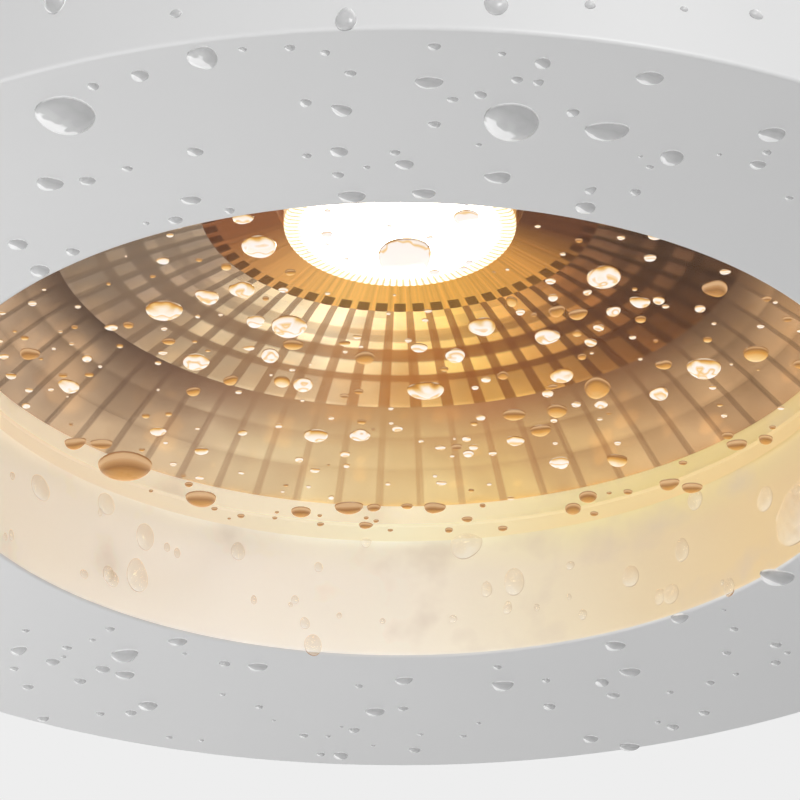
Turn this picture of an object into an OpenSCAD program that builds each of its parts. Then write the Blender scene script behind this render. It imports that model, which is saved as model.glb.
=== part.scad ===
// Surface-mounted outdoor ceiling downlight: a white can that twists onto a ceiling base.
// Z = 0 is the ceiling, the lamp hangs below it, and the front face looks down.
// A place in the light head is a depth, measured up from the front face.

/* [Can] */
// Outer diameter of the can
can_d = 110; // [106:1:130]
// Height from the ceiling to the front face
lamp_h = 95; // [93:1:130]
// Thickness of the can's side wall
side_wall = 2.5; // [2:0.1:3.2]
// Thickness of the flat front face
face_wall = 3; // [2:0.1:4]
// Rounding of the front face's outer edge
edge_round = 0.4; // [0.2:0.1:1]
// Rounding of the opening's edge
lip_round = 0.3; // [0.1:0.1:0.8]
// Gap between the can's top edge and the ceiling
shadow_gap = 1.5; // [1:0.1:2.5]

/* [Recess and glass] */
// Diameter of the opening in the front face
opening_d = 68.4; // [62:0.2:70]
// Depth of the recess, front face to glass
recess_depth = 9.95; // [7:0.05:11]
// Wall of the recess tube
recess_wall = 3; // [2.5:0.1:3.5]
// Thickness of the glass
glass_t = 4; // [3:0.1:5]
// Chamfer along both edges of the glass
glass_chamfer = 0.3; // [0.1:0.1:0.5]
// Air gap between the glass and the reflector's rim
glass_air = 1.7; // [1:0.1:3]
// Thickness of the silicone ring that holds the glass, across its wall
seal_t = 1; // [0.8:0.1:1.5]
// Height of the silicone ring
seal_h = 2.8; // [2:0.1:3]

/* [Reflector] */
// Diameter of the ridge between the inner and outer facets
ridge_d = 51.8; // [46:0.2:56]
// Diameter at which the facets start, around the smooth neck
facet_start_d = 27.8; // [26:0.2:32]
// Diameter of the hole in the neck
neck_d = 18.6; // [18:0.2:20]
// Rise of the dish from its rim to the ridge
outer_rise = 4.5; // [3.5:0.1:5.5]
// Rise of the dish from the ridge to the start of the facets
inner_rise = 2.45; // [2:0.05:3.5]
// Rise of the smooth neck
neck_rise = 0.6; // [0.3:0.1:1]
// How far the dish bulges from a straight cone, at the middle of each zone
dish_bulge = 0.25; // [0:0.05:0.5]
// Number of facet columns around the dish
columns = 64; // [48:4:96]
// Number of facet rows outside the ridge
outer_rows = 3; // [2:1:5]
// Number of facet rows inside the ridge
inner_rows = 5; // [3:1:7]
// Thickness of the reflector's shell
shell_t = 1.2; // [1:0.1:1.6]
// Width of the reflector's flange on the recess tube
rim_flange_w = 2.6; // [1.5:0.1:2.8]

/* [Light source] */
// Diameter of the fluted light disc
disc_d = 17.2; // [16.4:0.2:17.6]
// How far the light disc stands out in front of the neck
disc_proud = 2.3; // [1:0.1:3]
// Wall of the light disc
disc_wall = 1.5; // [1:0.1:2]
// Number of flutes around the light disc
flutes = 60; // [36:4:72]
// Depth of each flute
flute_depth = 0.25; // [0.1:0.05:0.4]
// Outer diameter of the LED holder
holder_d = 36; // [35:0.5:42]
// Thickness of the LED holder's front wall
holder_front = 1; // [0.8:0.1:1.5]
// Side of the square LED board
board_w = 19; // [17:0.5:20]
// Thickness of the LED board
board_t = 1.6; // [1:0.1:2]
// Diameter of the yellow phosphor disc
emitter_d = 13; // [9:0.5:14]
// Thickness of the phosphor disc
emitter_t = 0.6; // [0.4:0.1:0.8]
// Thickness of the thermal pad
pad_t = 0.4; // [0.3:0.1:0.8]

/* [Heat sink] */
// Thickness of the heat sink's plate
sink_plate_t = 4.5; // [3.5:0.1:6]
// Height of the fins
fin_h = 20; // [10:1:28]
// Thickness of each fin
fin_t = 1.4; // [1:0.1:2]
// Distance from fin to fin
fin_pitch = 6; // [4:0.5:9]
// Radial gap between the heat sink and the can
sink_gap = 1.5; // [1:0.1:2.5]

/* [Ceiling base] */
// Thickness of the ceiling plate
plate_t = 3; // [2.5:0.1:4]
// Radial gap between the ceiling plate and the can
plate_gap = 0.4; // [0.3:0.05:0.6]
// Depth of the thick shoulder that carries the O-ring
shoulder_h = 9; // [8:0.1:10]
// Depth of the base's rim, ceiling to lower edge
rim_h = 17; // [16:0.1:20]
// Wall of the base's rim
rim_wall = 2.5; // [2:0.1:3.5]
// Section diameter of the O-ring
o_ring_d = 2.4; // [2:0.1:3]
// Distance between the two ceiling screws
screw_spacing = 76; // [74:0.5:78]
// Diameter of the ceiling screw holes
screw_hole_d = 5; // [4:0.1:5.5]
// Diameter of the supply cable that the grommet takes
cable_d = 7.5; // [6:0.1:9]
// Distance from the plate's edge to the ceiling gasket
gasket_inset = 2.1; // [1.2:0.1:3]
// Width of the ceiling gasket
gasket_w = 3; // [2:0.1:4]
// Thickness of the ceiling gasket
gasket_t = 1.2; // [0.8:0.1:1.5]

/* [Bayonet] */
// Number of bayonet tabs
tabs = 3; // [2:1:4]
// Angle that each tab covers
tab_angle = 26; // [16:1:30]
// Thickness of each tab
tab_t = 3; // [2:0.1:3.4]
// Radial space for the tabs, between the base's rim and the can
tab_space = 4; // [3.5:0.1:5]
// Running clearance between tabs, and half of what a tab keeps from the other part's wall
tab_clear = 0.3; // [0.3:0.05:0.5]
// Width of the stop at the locked end, as an angle
stop_angle = 4; // [3:0.5:6]

/* [Driver] */
// Length of the driver case
driver_l = 62; // [58:1:63]
// Width of the driver case
driver_w = 30; // [26:1:30]
// Height of the driver case with its cover
driver_h = 18; // [17:0.5:19]
// Wall of the driver case
driver_wall = 1.6; // [1.2:0.1:2]
// Height of the posts that the driver stands on
post_h = 3; // [2:0.1:4]
// Outer diameter of the low-voltage socket
socket_d = 10; // [9:0.1:11]
// Diameter of the socket's bore
socket_bore_d = 6; // [5.4:0.1:6.6]
// Radial clearance between the plug's barrel and the socket
plug_clear = 0.25; // [0.15:0.05:0.4]
// Diameter of the socket's centre pin
pin_d = 2; // [1.6:0.1:2.2]

/* [Hidden] */

$fn = 96;
// Overlap that keeps a cut clean
eps = 0.05;
// Gap between pieces that are fitted into one another and don't move
fit = 0.05;
// Gap where a piece must pass freely
free_gap = 0.3;

can_r = can_d / 2;
bore_r = can_r - side_wall;
opening_r = opening_d / 2;
tube_r = opening_r + recess_wall;
z_face = -lamp_h;

// Depths in the light head, up from the front face
glass_back = recess_depth + glass_t;
rim_depth = glass_back + glass_air;
// The groove of the silicone ring, at the middle of the glass's edge
seal_low = recess_depth + (glass_t - seal_h) / 2 - fit;
ridge_depth = rim_depth + outer_rise;
facet_depth = ridge_depth + inner_rise;
neck_depth = facet_depth + neck_rise;
head_depth = neck_depth + shell_t;
// The tube stops where the reflector's flange rests, past a plain band on its rim
rim_band = 0.95;
flange_depth = rim_depth + rim_band;
flange_t = shell_t;
pocket_depth = head_depth + holder_front;
disc_flange_t = 0.9;
emitter_gap = 0.6;
board_front = pocket_depth + disc_flange_t + emitter_gap + emitter_t;
sink_depth = board_front + board_t + pad_t;
sink_top = sink_depth + sink_plate_t;

// Reflector
rim_gap = 0.2;
rim_r = opening_r - rim_gap;
rim_flange_r = rim_r + rim_flange_w;
ridge_r = ridge_d / 2;
facet_r = facet_start_d / 2;
neck_r = neck_d / 2;
neck_seat_w = 2.7;
seat_r = neck_r + neck_seat_w;
// How far the back of the flange runs in over the rim
flange_root = 0.4;

// Light source
disc_r = disc_d / 2;
disc_flange_w = 1.8;
disc_flange_r = disc_r + disc_flange_w;
pocket_r = disc_flange_r + free_gap;
board_fit = 0.2;
// Distance of the holder's screws and leads from its edge
lead_inset = 3.7;
lead_y = holder_d / 2 - lead_inset;
contact_lift = 0.6;
// How far the holder's screw heads lie below its front
head_sink = 0.4;

// Screws: shank diameter, head diameter and head height of the small machine screws
m3_d = 3;
m3_head_d = 5.5;
m3_head_h = 1.8;
m2_d = 2;
m2_head_d = 3.8;
m2_head_h = 1.3;
// What a blind hole is longer than its screw, and the length of thread in a boss
hole_spare = 0.3;
screw_spare = 0.5;
boss_thread = 8;

// Heat sink
sink_r = bore_r - sink_gap;
boss_r = 3.6;
boss_inset = 0.8;
boss_pitch_r = sink_r - boss_r - boss_inset;
bosses = 3;
boss_turn = 90;
// Bare disc inside the fins, and a bare ring outside them
clearing_w = 3;
clearing_r = lead_y + clearing_w;
fin_to_boss = 1;
fin_zone_r = boss_pitch_r - boss_r - fin_to_boss;

// Ceiling base
base_r = bore_r - plate_gap;
gasket_r = base_r - gasket_inset;
rim_r_out = bore_r - tab_space;
rim_r_in = rim_r_out - rim_wall;
tab_root_r = rim_r_in + rim_wall / 2;
// Lugs inside the bayonet ring, for the screws that come down through the plate
lug_angles = [50, 130, 270];
lug_d = 8;
lug_inset = 3;
lug_pitch_r = rim_r_in - lug_inset;
lug_thread = 5;
head_recess = 0.1;
o_ring_z = -(plate_t + shoulder_h) / 2;
o_ring_c = bore_r - fit - o_ring_d / 2;
groove_r = o_ring_c - o_ring_d / 2 - fit;
grommet_wall = 2.75;
grommet_r = cable_d / 2 + grommet_wall;
grommet_lip = 2;
lip_t = 1.1;
grommet_inset = 2.5;
grommet_turn = -51;
grommet_at = polar(rim_r_in - grommet_inset - grommet_lip - grommet_r, grommet_turn);

// Bayonet
base_tab_z = -rim_h;
base_tab_r = bore_r - 2 * tab_clear;
can_tab_z = base_tab_z + tab_t + tab_clear;
can_tab_r = rim_r_out + 2 * tab_clear;
end_gap = 0.6;

// Driver, hung under the plate with its cover down
driver_y = 3;
inner_l = driver_l - 2 * driver_wall;
inner_w = driver_w - 2 * driver_wall;
driver_top = -(plate_t + post_h);
cover_t = 2;
driver_bottom = driver_top - driver_h;
cover_top = driver_bottom + cover_t;
ear_reach = 4;
ear_x = driver_l / 2 + ear_reach;
ear_inset = 6;
ear_y = driver_y + driver_w / 2 - ear_inset;
ear_t = 3;
ear_d = m3_head_d + 1.5;
post_wall = 2;
post_d = m3_d + 2 * post_wall;
pcb_t = 1.6;
pcb_gap = 2;
pcb_z = cover_top + pcb_gap;
socket_drop = 7.6;
socket_end = driver_bottom - socket_drop;
socket_depth = 9;
pin_set_back = 1;
plug_gap = 0.6;
plug_top = socket_end - plug_gap;
barrel_l = 8;
barrel_d = socket_bore_d - 2 * plug_clear;
plug_r = 5.5;
plug_h = 12;
plug_bottom = plug_top - plug_h;
z_sink_top = z_face + sink_top;
plug_grip = 8;
plug_wall = 2;
plug_post_r = plug_r + plug_wall;
plug_foot_t = 2;
plug_screw_gap = 0.6;
plug_screw_x = plug_post_r + m2_head_d / 2 + plug_screw_gap;
plug_foot_r = plug_screw_x + m2_head_d / 2 + plug_screw_gap;
// Parts on the driver's board: the transformer's core and winding, and for each capacitor its
// place along and across the case, its diameter and its height
core_size = [16, 14, 7];
winding_size = [12, 18, 4];
winding_lift = 1.5;
transformer_x = 10;
capacitors = [[-20, -5, 8, 7.5], [-20, 6, 8, 7.5], [24, 0, 6.3, 7]];

// Terminal block
block_w = 13;
block_h = 13;
poles = 3;
pole_pitch = 8;
block_end = 1;
block_l = poles * pole_pitch + 2 * block_end;
// The block's outer corner keeps this distance from the bayonet ring
block_inset = 4.8;
block_x = -8;
block_corner = block_l / 2 - block_x;
block_at = [block_x, block_w / 2 - sqrt(pow(rim_r_in - block_inset, 2) - pow(block_corner, 2))];
clamp_y = 3.4;
block_z = -plate_t - block_h;
block_floor = 4;
slot_w = 1.2;
slot_h = 3;
clamp_sink = 1.5;
wire_d = 1.7;
wire_hole_d = 2.9;
wire_drop = 7;
wire_z = -(plate_t + wire_drop);
block_side = block_at[1] + block_w / 2;
driver_side = driver_y - driver_w / 2;
earth_inset = 6.2;
earth_turn = 219;
earth_at = polar(rim_r_in - earth_inset, earth_turn);
earth_post_h = 2;
earth_post_z = -plate_t - earth_post_h;
earth_post_d = 5.5;
ring_t = 1;
ring_d = 6.8;
crimp_reach = 6;
crimp_end_y = earth_at[1] + crimp_reach;
// Where the mains leads enter the driver
lead_in_x = [-16, -23];
lead_in_drop = 5;
lead_in_z = wire_z - lead_in_drop;

// Routes of the leads, chosen by hand between the pieces that they join
lead_sides = 8;
lead_steps = 3;
lead_x = 2;
lead_bend = 2;
lead_end = 6;
lead_drop = plug_bottom - z_sink_top;
lead_slot_h = 0.6 * lead_drop;
led_route = [[0, lead_x, plug_bottom - free_gap], [0, lead_x, z_sink_top + 0.65 * lead_drop],
    [0, lead_x + lead_bend, z_sink_top + 0.36 * lead_drop],
    [0, lead_y / 2, z_sink_top + 0.24 * lead_drop],
    [0, lead_y - lead_bend, z_sink_top + 0.18 * lead_drop],
    [0, lead_y, z_sink_top], [0, lead_y, z_sink_top - lead_end]];
// A lead's two points on both sides of a wall that faces along Y
function through_wall(x, y, z) = [[x, y - lead_bend, z], [x, y + lead_bend, z]];
function block_exit(i) = through_wall(pole_x(i), block_side, wire_z);
function driver_entry(x) = through_wall(x, driver_side, lead_in_z);
live_route = concat(block_exit(1), driver_entry(lead_in_x[0]));
neutral_route = concat(block_exit(0), driver_entry(lead_in_x[1]));
// The earth lead runs midway between the block and the driver, through these x and z
earth_way = [[-6, -16], [-20, -18], [-30, -12]];
earth_way_y = (block_side + driver_side) / 2;
earth_route = concat(block_exit(2), [for (p = earth_way) [p[0], earth_way_y, p[1]]],
    [[earth_at[0], crimp_end_y + lead_bend, earth_post_z - 1.5 * ring_t],
    [earth_at[0], crimp_end_y - ring_t, earth_post_z - ring_t / 2]]);

// Point on the ceiling at a distance and an angle from the centre
function polar(r, a) = [r * cos(a), r * sin(a)];

module housing() {
    color("whitesmoke") difference() {
        union() {
            rotate_extrude() can_section();
            translate([0, 0, z_face + face_wall - eps]) boss_ring(sink_depth - face_wall + eps);
            bayonet_tabs(can_tab_z, tab_t, can_tab_r, bore_r + side_wall / 2,
                -tab_angle / 2, tab_angle / 2);
        }
        boss_places() translate([0, 0, z_face + face_wall]) cylinder(h = lamp_h, d = m3_d + 2 * fit);
    }
}

// Half section of the can: side wall, front face and recess tube
module can_section() {
    difference() {
        translate([opening_r, z_face]) square([can_r - opening_r, lamp_h - shadow_gap]);
        translate([tube_r, z_face + face_wall]) square([bore_r - tube_r, lamp_h]);
        translate([opening_r - eps, z_face + flange_depth]) square([recess_wall + 2 * eps, lamp_h]);
        translate([opening_r - eps, z_face + seal_low]) square([seal_t + eps + fit, seal_h + 2 * fit]);
        translate([can_r, z_face]) mirror([1, 0]) round_off(edge_round);
        translate([opening_r, z_face]) round_off(lip_round);
    }
}

// What a rounding of radius r takes off a corner at the origin
module round_off(r) {
    difference() {
        translate([-eps, -eps]) square(r + eps);
        translate([r, r]) circle(r, $fn = 48);
    }
}

module boss_places() {
    for (i = [0 : bosses - 1])
        rotate(boss_turn + i * 360 / bosses) translate([boss_pitch_r, 0, 0]) children();
}

module boss_ring(h) {
    boss_places() cylinder(h = h, r = boss_r);
}

// Bayonet tabs: ring sectors between two radii and two angles
module bayonet_tabs(z, t, r_in, r_out, from, to) {
    for (i = [0 : tabs - 1])
        translate([0, 0, z]) rotate(from + i * 360 / tabs)
            rotate_extrude(angle = to - from) translate([r_in, 0]) square([r_out - r_in, t]);
}

module glass_lens() {
    glass_r = opening_r - fit;
    c = glass_chamfer;
    edge = [[glass_r - c, 0], [glass_r, c], [glass_r, glass_t - c], [glass_r - c, glass_t]];
    color("lightcyan", 0.35) translate([0, 0, z_face + recess_depth])
        rotate_extrude() polygon(concat([[0, 0]], edge, [[0, glass_t]]));
}

module lens_seal() {
    color("gainsboro") translate([0, 0, z_face + seal_low + fit]) rotate_extrude()
        translate([opening_r, 0]) square([seal_t, seal_h]);
}

// Radius of the facet boundaries inside the ridge: each row is wider than the last by one ratio
function inner_r(i) = facet_r * pow(ridge_r / facet_r, i / inner_rows);
function outer_r(i) = ridge_r + (rim_r - ridge_r) * i / outer_rows;
// Depth of the dish at radius r, on a zone from r0 to r1 that rises by h inwards and bulges
function zone_depth(r, r0, r1, d1, h) = d1 + h * (r1 - r) / (r1 - r0)
    + 4 * dish_bulge * (r - r0) * (r1 - r) / pow(r1 - r0, 2);
function inner_point(i) = [inner_r(i), zone_depth(inner_r(i), facet_r, ridge_r, ridge_depth, inner_rise)];
function outer_point(i) = [outer_r(i), zone_depth(outer_r(i), ridge_r, rim_r, rim_depth, outer_rise)];
// Section of the reflector as radius and depth, front side outwards and back side inwards
reflector_section = concat(
    [[neck_r, neck_depth]],
    [for (i = [0 : inner_rows]) inner_point(i)],
    [for (i = [1 : outer_rows]) outer_point(i)],
    [[rim_r, flange_depth], [rim_flange_r, flange_depth]],
    [[rim_flange_r, flange_depth + flange_t], [rim_r - flange_root, flange_depth + flange_t]],
    [for (i = [outer_rows - 1 : -1 : 1]) outer_point(i) + [0, shell_t]],
    [for (i = [inner_rows : -1 : 0]) inner_point(i) + [0, shell_t]],
    [[seat_r, head_depth], [neck_r, head_depth]]);

// Angle of a column's edge, half a column off the X axis
function column_angle(j) = (j + 0.5) * 360 / columns;

// The dish is a true many-sided shape: one flat facet for each column and row
module reflector() {
    n = len(reflector_section);
    points = [for (j = [0 : columns - 1], p = reflector_section)
        [p[0] * cos(column_angle(j)), p[0] * sin(column_angle(j)), z_face + p[1]]];
    faces = [for (j = [0 : columns - 1], i = [0 : n - 1])
        let (k = (j + 1) % columns, m = (i + 1) % n) [j * n + m, k * n + m, k * n + i, j * n + i]];
    color("peru") polyhedron(points, faces);
}

module light_disc() {
    disc_front = neck_depth - disc_proud;
    color("ivory") translate([0, 0, z_face]) difference() {
        union() {
            translate([0, 0, disc_front]) linear_extrude(pocket_depth - disc_front + eps)
                polygon([for (i = [0 : 2 * flutes - 1]) let (a = i * 180 / flutes)
                    (disc_r - (i % 2) * flute_depth) * [cos(a), sin(a)]]);
            translate([0, 0, pocket_depth]) cylinder(h = board_front - pocket_depth, r = disc_flange_r);
        }
        translate([0, 0, disc_front + disc_wall]) cylinder(h = lamp_h, r = disc_r - disc_wall);
    }
}

module led_holder() {
    color("white") translate([0, 0, z_face]) difference() {
        translate([0, 0, head_depth]) cylinder(h = sink_depth - head_depth, d = holder_d);
        cylinder(h = lamp_h, r = disc_r + free_gap);
        translate([0, 0, pocket_depth]) cylinder(h = lamp_h, r = pocket_r);
        translate([0, 0, board_front])
            centred_box(board_w + 2 * board_fit, board_w + 2 * board_fit, lamp_h);
        for (s = [-1, 1]) {
            translate([s * lead_y, 0, 0]) cylinder(h = lamp_h, d = m3_d + 2 * fit);
            translate([s * lead_y, 0, head_depth - eps])
                cylinder(h = m3_head_h + head_sink + eps, d = m3_head_d + 2 * free_gap);
            // Contact pocket for a lead, open towards the heat sink
            translate([0, s * lead_y, board_front - contact_lift]) cylinder(h = lamp_h, d = wire_hole_d);
        }
    }
}

module at(p) {
    translate([p[0], p[1], 0]) children();
}

module centred_box(x, y, z) {
    translate([-x / 2, -y / 2, 0]) cube([x, y, z]);
}

// A pan-head screw with its head at the origin, pointing along +Z, with a cross recess
module screw(d, head_d, head_h, l) {
    difference() {
        union() {
            cylinder(h = l + head_h, d = d);
            cylinder(h = head_h, d = head_d);
        }
        for (a = [0, 90]) rotate(a) translate([0, 0, -eps]) centred_box(head_d * 0.6, d / 5, head_h / 2);
    }
}

module led_holder_screws() {
    seat = head_depth + head_sink;
    color("silver") for (s = [-1, 1]) translate([s * lead_y, 0, z_face + seat])
        screw(m3_d, m3_head_d, m3_head_h, sink_depth - seat - m3_head_h + sink_plate_t - screw_spare);
}

module led_board() {
    color("gainsboro") translate([0, 0, z_face + board_front]) centred_box(board_w, board_w, board_t);
}

module led_emitter() {
    color("gold") translate([0, 0, z_face + board_front - emitter_t])
        cylinder(h = emitter_t, d = emitter_d);
}

module thermal_pad() {
    color("lightsteelblue") translate([0, 0, z_face + board_front + board_t])
        centred_box(board_w, board_w, pad_t);
}

module heat_sink() {
    fins = floor((fin_zone_r - fin_t) / fin_pitch);
    blind_depth = sink_plate_t - screw_spare + hole_spare;
    color("silver") translate([0, 0, z_face + sink_depth]) difference() {
        union() {
            cylinder(h = sink_plate_t, r = sink_r);
            translate([0, 0, sink_plate_t - eps]) linear_extrude(fin_h + eps) difference() {
                intersection() {
                    circle(fin_zone_r);
                    union() for (i = [-fins : fins])
                        translate([i * fin_pitch - fin_t / 2, -fin_zone_r]) square([fin_t, 2 * fin_zone_r]);
                }
                circle(clearing_r);
            }
        }
        translate([0, 0, -eps]) {
            boss_places() cylinder(h = lamp_h, d = m3_d + 2 * free_gap);
            for (s = [-1, 1]) {
                translate([s * lead_y, 0, 0]) cylinder(h = blind_depth, d = m3_d + 2 * fit);
                translate([s * plug_screw_x, 0, 0])
                    cylinder(h = sink_plate_t + 2 * eps, d = m2_d + 2 * fit);
                translate([0, s * lead_y, 0]) cylinder(h = lamp_h, d = wire_hole_d);
            }
        }
    }
}

module heat_sink_screws() {
    color("silver") boss_places() translate([0, 0, z_face + sink_top + m3_head_h]) mirror([0, 0, 1])
        screw(m3_d, m3_head_d, m3_head_h, sink_plate_t + boss_thread);
}

module plug_holder() {
    color("white") difference() {
        translate([0, 0, z_sink_top]) union() {
            cylinder(h = plug_bottom + plug_grip - z_sink_top, r = plug_post_r);
            cylinder(h = plug_foot_t, r = plug_foot_r);
        }
        translate([0, 0, z_sink_top - eps]) cylinder(h = lamp_h, r = plug_r - plug_wall);
        translate([0, 0, plug_bottom]) cylinder(h = lamp_h, r = plug_r + fit);
        translate([0, 0, z_sink_top - eps]) centred_box(wire_d + plug_wall, 3 * plug_foot_r, lead_slot_h);
        for (s = [-1, 1])
            translate([s * plug_screw_x, 0, z_sink_top - eps]) cylinder(h = lamp_h, d = m2_d + 2 * fit);
    }
}

module plug_holder_screws() {
    color("silver") for (s = [-1, 1]) translate([s * plug_screw_x, 0, z_sink_top + plug_foot_t + m2_head_h])
        mirror([0, 0, 1]) screw(m2_d, m2_head_d, m2_head_h, plug_foot_t + sink_plate_t - screw_spare);
}

module dc_plug() {
    color("dimgray") difference() {
        union() {
            translate([0, 0, plug_bottom]) cylinder(h = plug_h, r = plug_r);
            translate([0, 0, plug_top - eps]) cylinder(h = barrel_l + eps, d = barrel_d);
        }
        translate([0, 0, plug_top]) cylinder(h = lamp_h, d = pin_d + 2 * free_gap);
    }
}

// Smooth curve through the points p, with n steps for each stretch
function curve_point(a, b, c, d, t) = 0.5 * ((2 * b) + (c - a) * t + (2 * a - 5 * b + 4 * c - d) * t * t
    + (3 * b - a - 3 * c + d) * t * t * t);
function curve(p, n) = concat([for (i = [0 : len(p) - 2], k = [0 : n - 1])
    curve_point(p[max(i - 1, 0)], p[i], p[i + 1], p[min(i + 2, len(p) - 1)], k / n)], [p[len(p) - 1]]);
function unit(v) = v / norm(v);

// A lead of diameter d along a route, as one swept tube
module lead(route, d, side = [1, 0.1, 0.05]) {
    path = curve(route, lead_steps);
    n = len(path);
    m = lead_sides;
    points = [for (i = [0 : n - 1]) let (
        t = unit(path[min(i + 1, n - 1)] - path[max(i - 1, 0)]),
        u = unit(cross(side, t)),
        v = cross(t, u))
        for (k = [0 : m - 1]) path[i] + d / 2 * (cos(k * 360 / m) * u + sin(k * 360 / m) * v)];
    wall_faces = [for (i = [0 : n - 2], k = [0 : m - 1]) each [
        [i * m + k, (i + 1) * m + k, (i + 1) * m + (k + 1) % m],
        [i * m + k, (i + 1) * m + (k + 1) % m, i * m + (k + 1) % m]]];
    ends = [[for (k = [0 : m - 1]) k], [for (k = [m - 1 : -1 : 0]) (n - 1) * m + k]];
    polyhedron(points, concat(wall_faces, ends));
}

module led_leads() {
    color("crimson") lead(led_route, wire_d);
    color("black") rotate(180) lead(led_route, wire_d);
}

module base_plate() {
    color("silver") difference() {
        union() {
            rotate_extrude() plate_section();
            for (s = [-1, 1])
                translate([s * ear_x, ear_y, driver_top]) cylinder(h = post_h + eps, d = post_d);
            at(earth_at) translate([0, 0, earth_post_z]) cylinder(h = earth_post_h + eps, d = earth_post_d);
        }
        for (s = [-1, 1]) {
            translate([s * screw_spacing / 2, 0, -lamp_h / 2]) cylinder(h = lamp_h, d = screw_hole_d);
            translate([s * ear_x, ear_y, driver_top - eps])
                cylinder(h = post_h + plate_t / 2, d = m3_d + 2 * fit);
        }
        at(earth_at) translate([0, 0, earth_post_z - eps])
            cylinder(h = earth_post_h + plate_t / 2, d = m3_d + 2 * fit);
        lug_places() {
            translate([0, 0, -lamp_h / 2]) cylinder(h = lamp_h, d = m3_d + 2 * free_gap);
            translate([0, 0, -head_recess - m3_head_h]) cylinder(h = lamp_h, d = m3_head_d + 2 * free_gap);
        }
        at(grommet_at) {
            translate([0, 0, -lamp_h / 2]) cylinder(h = lamp_h, r = grommet_r + fit);
            translate([0, 0, -lip_t - fit]) cylinder(h = lamp_h, r = grommet_r + grommet_lip + fit);
        }
    }
}

// Half section of the ceiling plate, with the gasket's groove on top
module plate_section() {
    difference() {
        translate([0, -plate_t]) square([base_r, plate_t]);
        translate([gasket_r - gasket_w - fit, -gasket_t]) square([gasket_w + 2 * fit, gasket_t + eps]);
    }
}

module lug_places() {
    for (a = lug_angles) at(polar(lug_pitch_r, a)) children();
}

module bayonet_ring() {
    color("silver") difference() {
        union() {
            rotate_extrude() ring_section();
            bayonet_tabs(base_tab_z, tab_t, tab_root_r, base_tab_r, -tab_angle / 2, tab_angle / 2);
            // Stops beside the tabs, against which the can's tabs lock
            bayonet_tabs(base_tab_z, 2 * tab_t + tab_clear, tab_root_r, base_tab_r,
                tab_angle / 2 + end_gap, tab_angle / 2 + end_gap + stop_angle);
            intersection() {
                lug_places() translate([0, 0, -shoulder_h]) cylinder(h = shoulder_h - plate_t, d = lug_d);
                translate([0, 0, -shoulder_h]) cylinder(h = shoulder_h - plate_t, r = tab_root_r);
            }
        }
        lug_places() translate([0, 0, -lug_thread - plate_t]) cylinder(h = lamp_h, d = m3_d + 2 * fit);
    }
}

// Half section of the bayonet ring: the shoulder that carries the O-ring, and the rim
module ring_section() {
    difference() {
        union() {
            translate([rim_r_in, -shoulder_h]) square([base_r - rim_r_in, shoulder_h - plate_t]);
            translate([rim_r_in, -rim_h]) square([rim_wall, rim_h - plate_t]);
        }
        translate([groove_r, o_ring_z - o_ring_d / 2 - fit]) square([o_ring_d * 2, o_ring_d + 2 * fit]);
    }
}

module ring_screws() {
    reach = lug_thread + plate_t - hole_spare - head_recess - m3_head_h;
    color("silver") lug_places() translate([0, 0, -head_recess]) mirror([0, 0, 1])
        screw(m3_d, m3_head_d, m3_head_h, reach);
}

module base_gasket() {
    color("dimgray") rotate_extrude()
        translate([gasket_r - gasket_w, -gasket_t]) square([gasket_w, gasket_t]);
}

module base_o_ring() {
    color("black") rotate_extrude() translate([o_ring_c, o_ring_z]) circle(d = o_ring_d, $fn = 48);
}

module cable_grommet() {
    lower = -plate_t - fit - 2 * lip_t;
    color("dimgray") at(grommet_at) difference() {
        union() {
            translate([0, 0, -lip_t]) cylinder(h = lip_t, r = grommet_r + grommet_lip);
            translate([0, 0, lower]) cylinder(h = -lower, r = grommet_r);
            translate([0, 0, lower]) cylinder(h = 2 * lip_t, r = grommet_r + grommet_lip);
        }
        translate([0, 0, -lamp_h / 2]) cylinder(h = lamp_h, d = cable_d);
    }
}

// The places of the poles, and of the screws on both sides of each pole
function pole_x(i) = block_at[0] + (i - (poles - 1) / 2) * pole_pitch;

module screw_places() {
    for (i = [0 : poles - 1], s = [-1, 1]) at([pole_x(i), block_at[1] + s * clamp_y]) children();
}

module terminal_block() {
    color("ivory") difference() {
        at(block_at) translate([0, 0, block_z]) centred_box(block_l, block_w, block_h);
        screw_places() translate([0, 0, block_z - eps])
            cylinder(h = block_h - block_floor + eps, d = m3_d + 2 * free_gap);
        for (i = [0 : poles - 1]) translate([pole_x(i), block_at[1], wire_z])
            rotate([90, 0, 0]) cylinder(h = 2 * block_w, d = wire_hole_d, center = true);
        // Slots between the poles
        for (i = [0 : poles - 2]) translate([pole_x(i + 0.5), block_at[1], block_z - eps])
            centred_box(slot_w, 2 * block_w, slot_h);
    }
}

module terminal_screws() {
    color("goldenrod") screw_places() translate([0, 0, block_z + clamp_sink]) difference() {
        cylinder(h = wire_z - wire_d / 2 - block_z - clamp_sink, d = m3_d);
        translate([0, 0, -eps]) centred_box(m3_d + 1, m3_d / 5, m3_d / 4);
    }
}

module earth_screw() {
    color("goldenrod") at(earth_at) translate([0, 0, earth_post_z - ring_t - m3_head_h])
        screw(m3_d, m3_head_d, m3_head_h, ring_t + earth_post_h + plate_t / 2 - free_gap);
}

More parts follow.
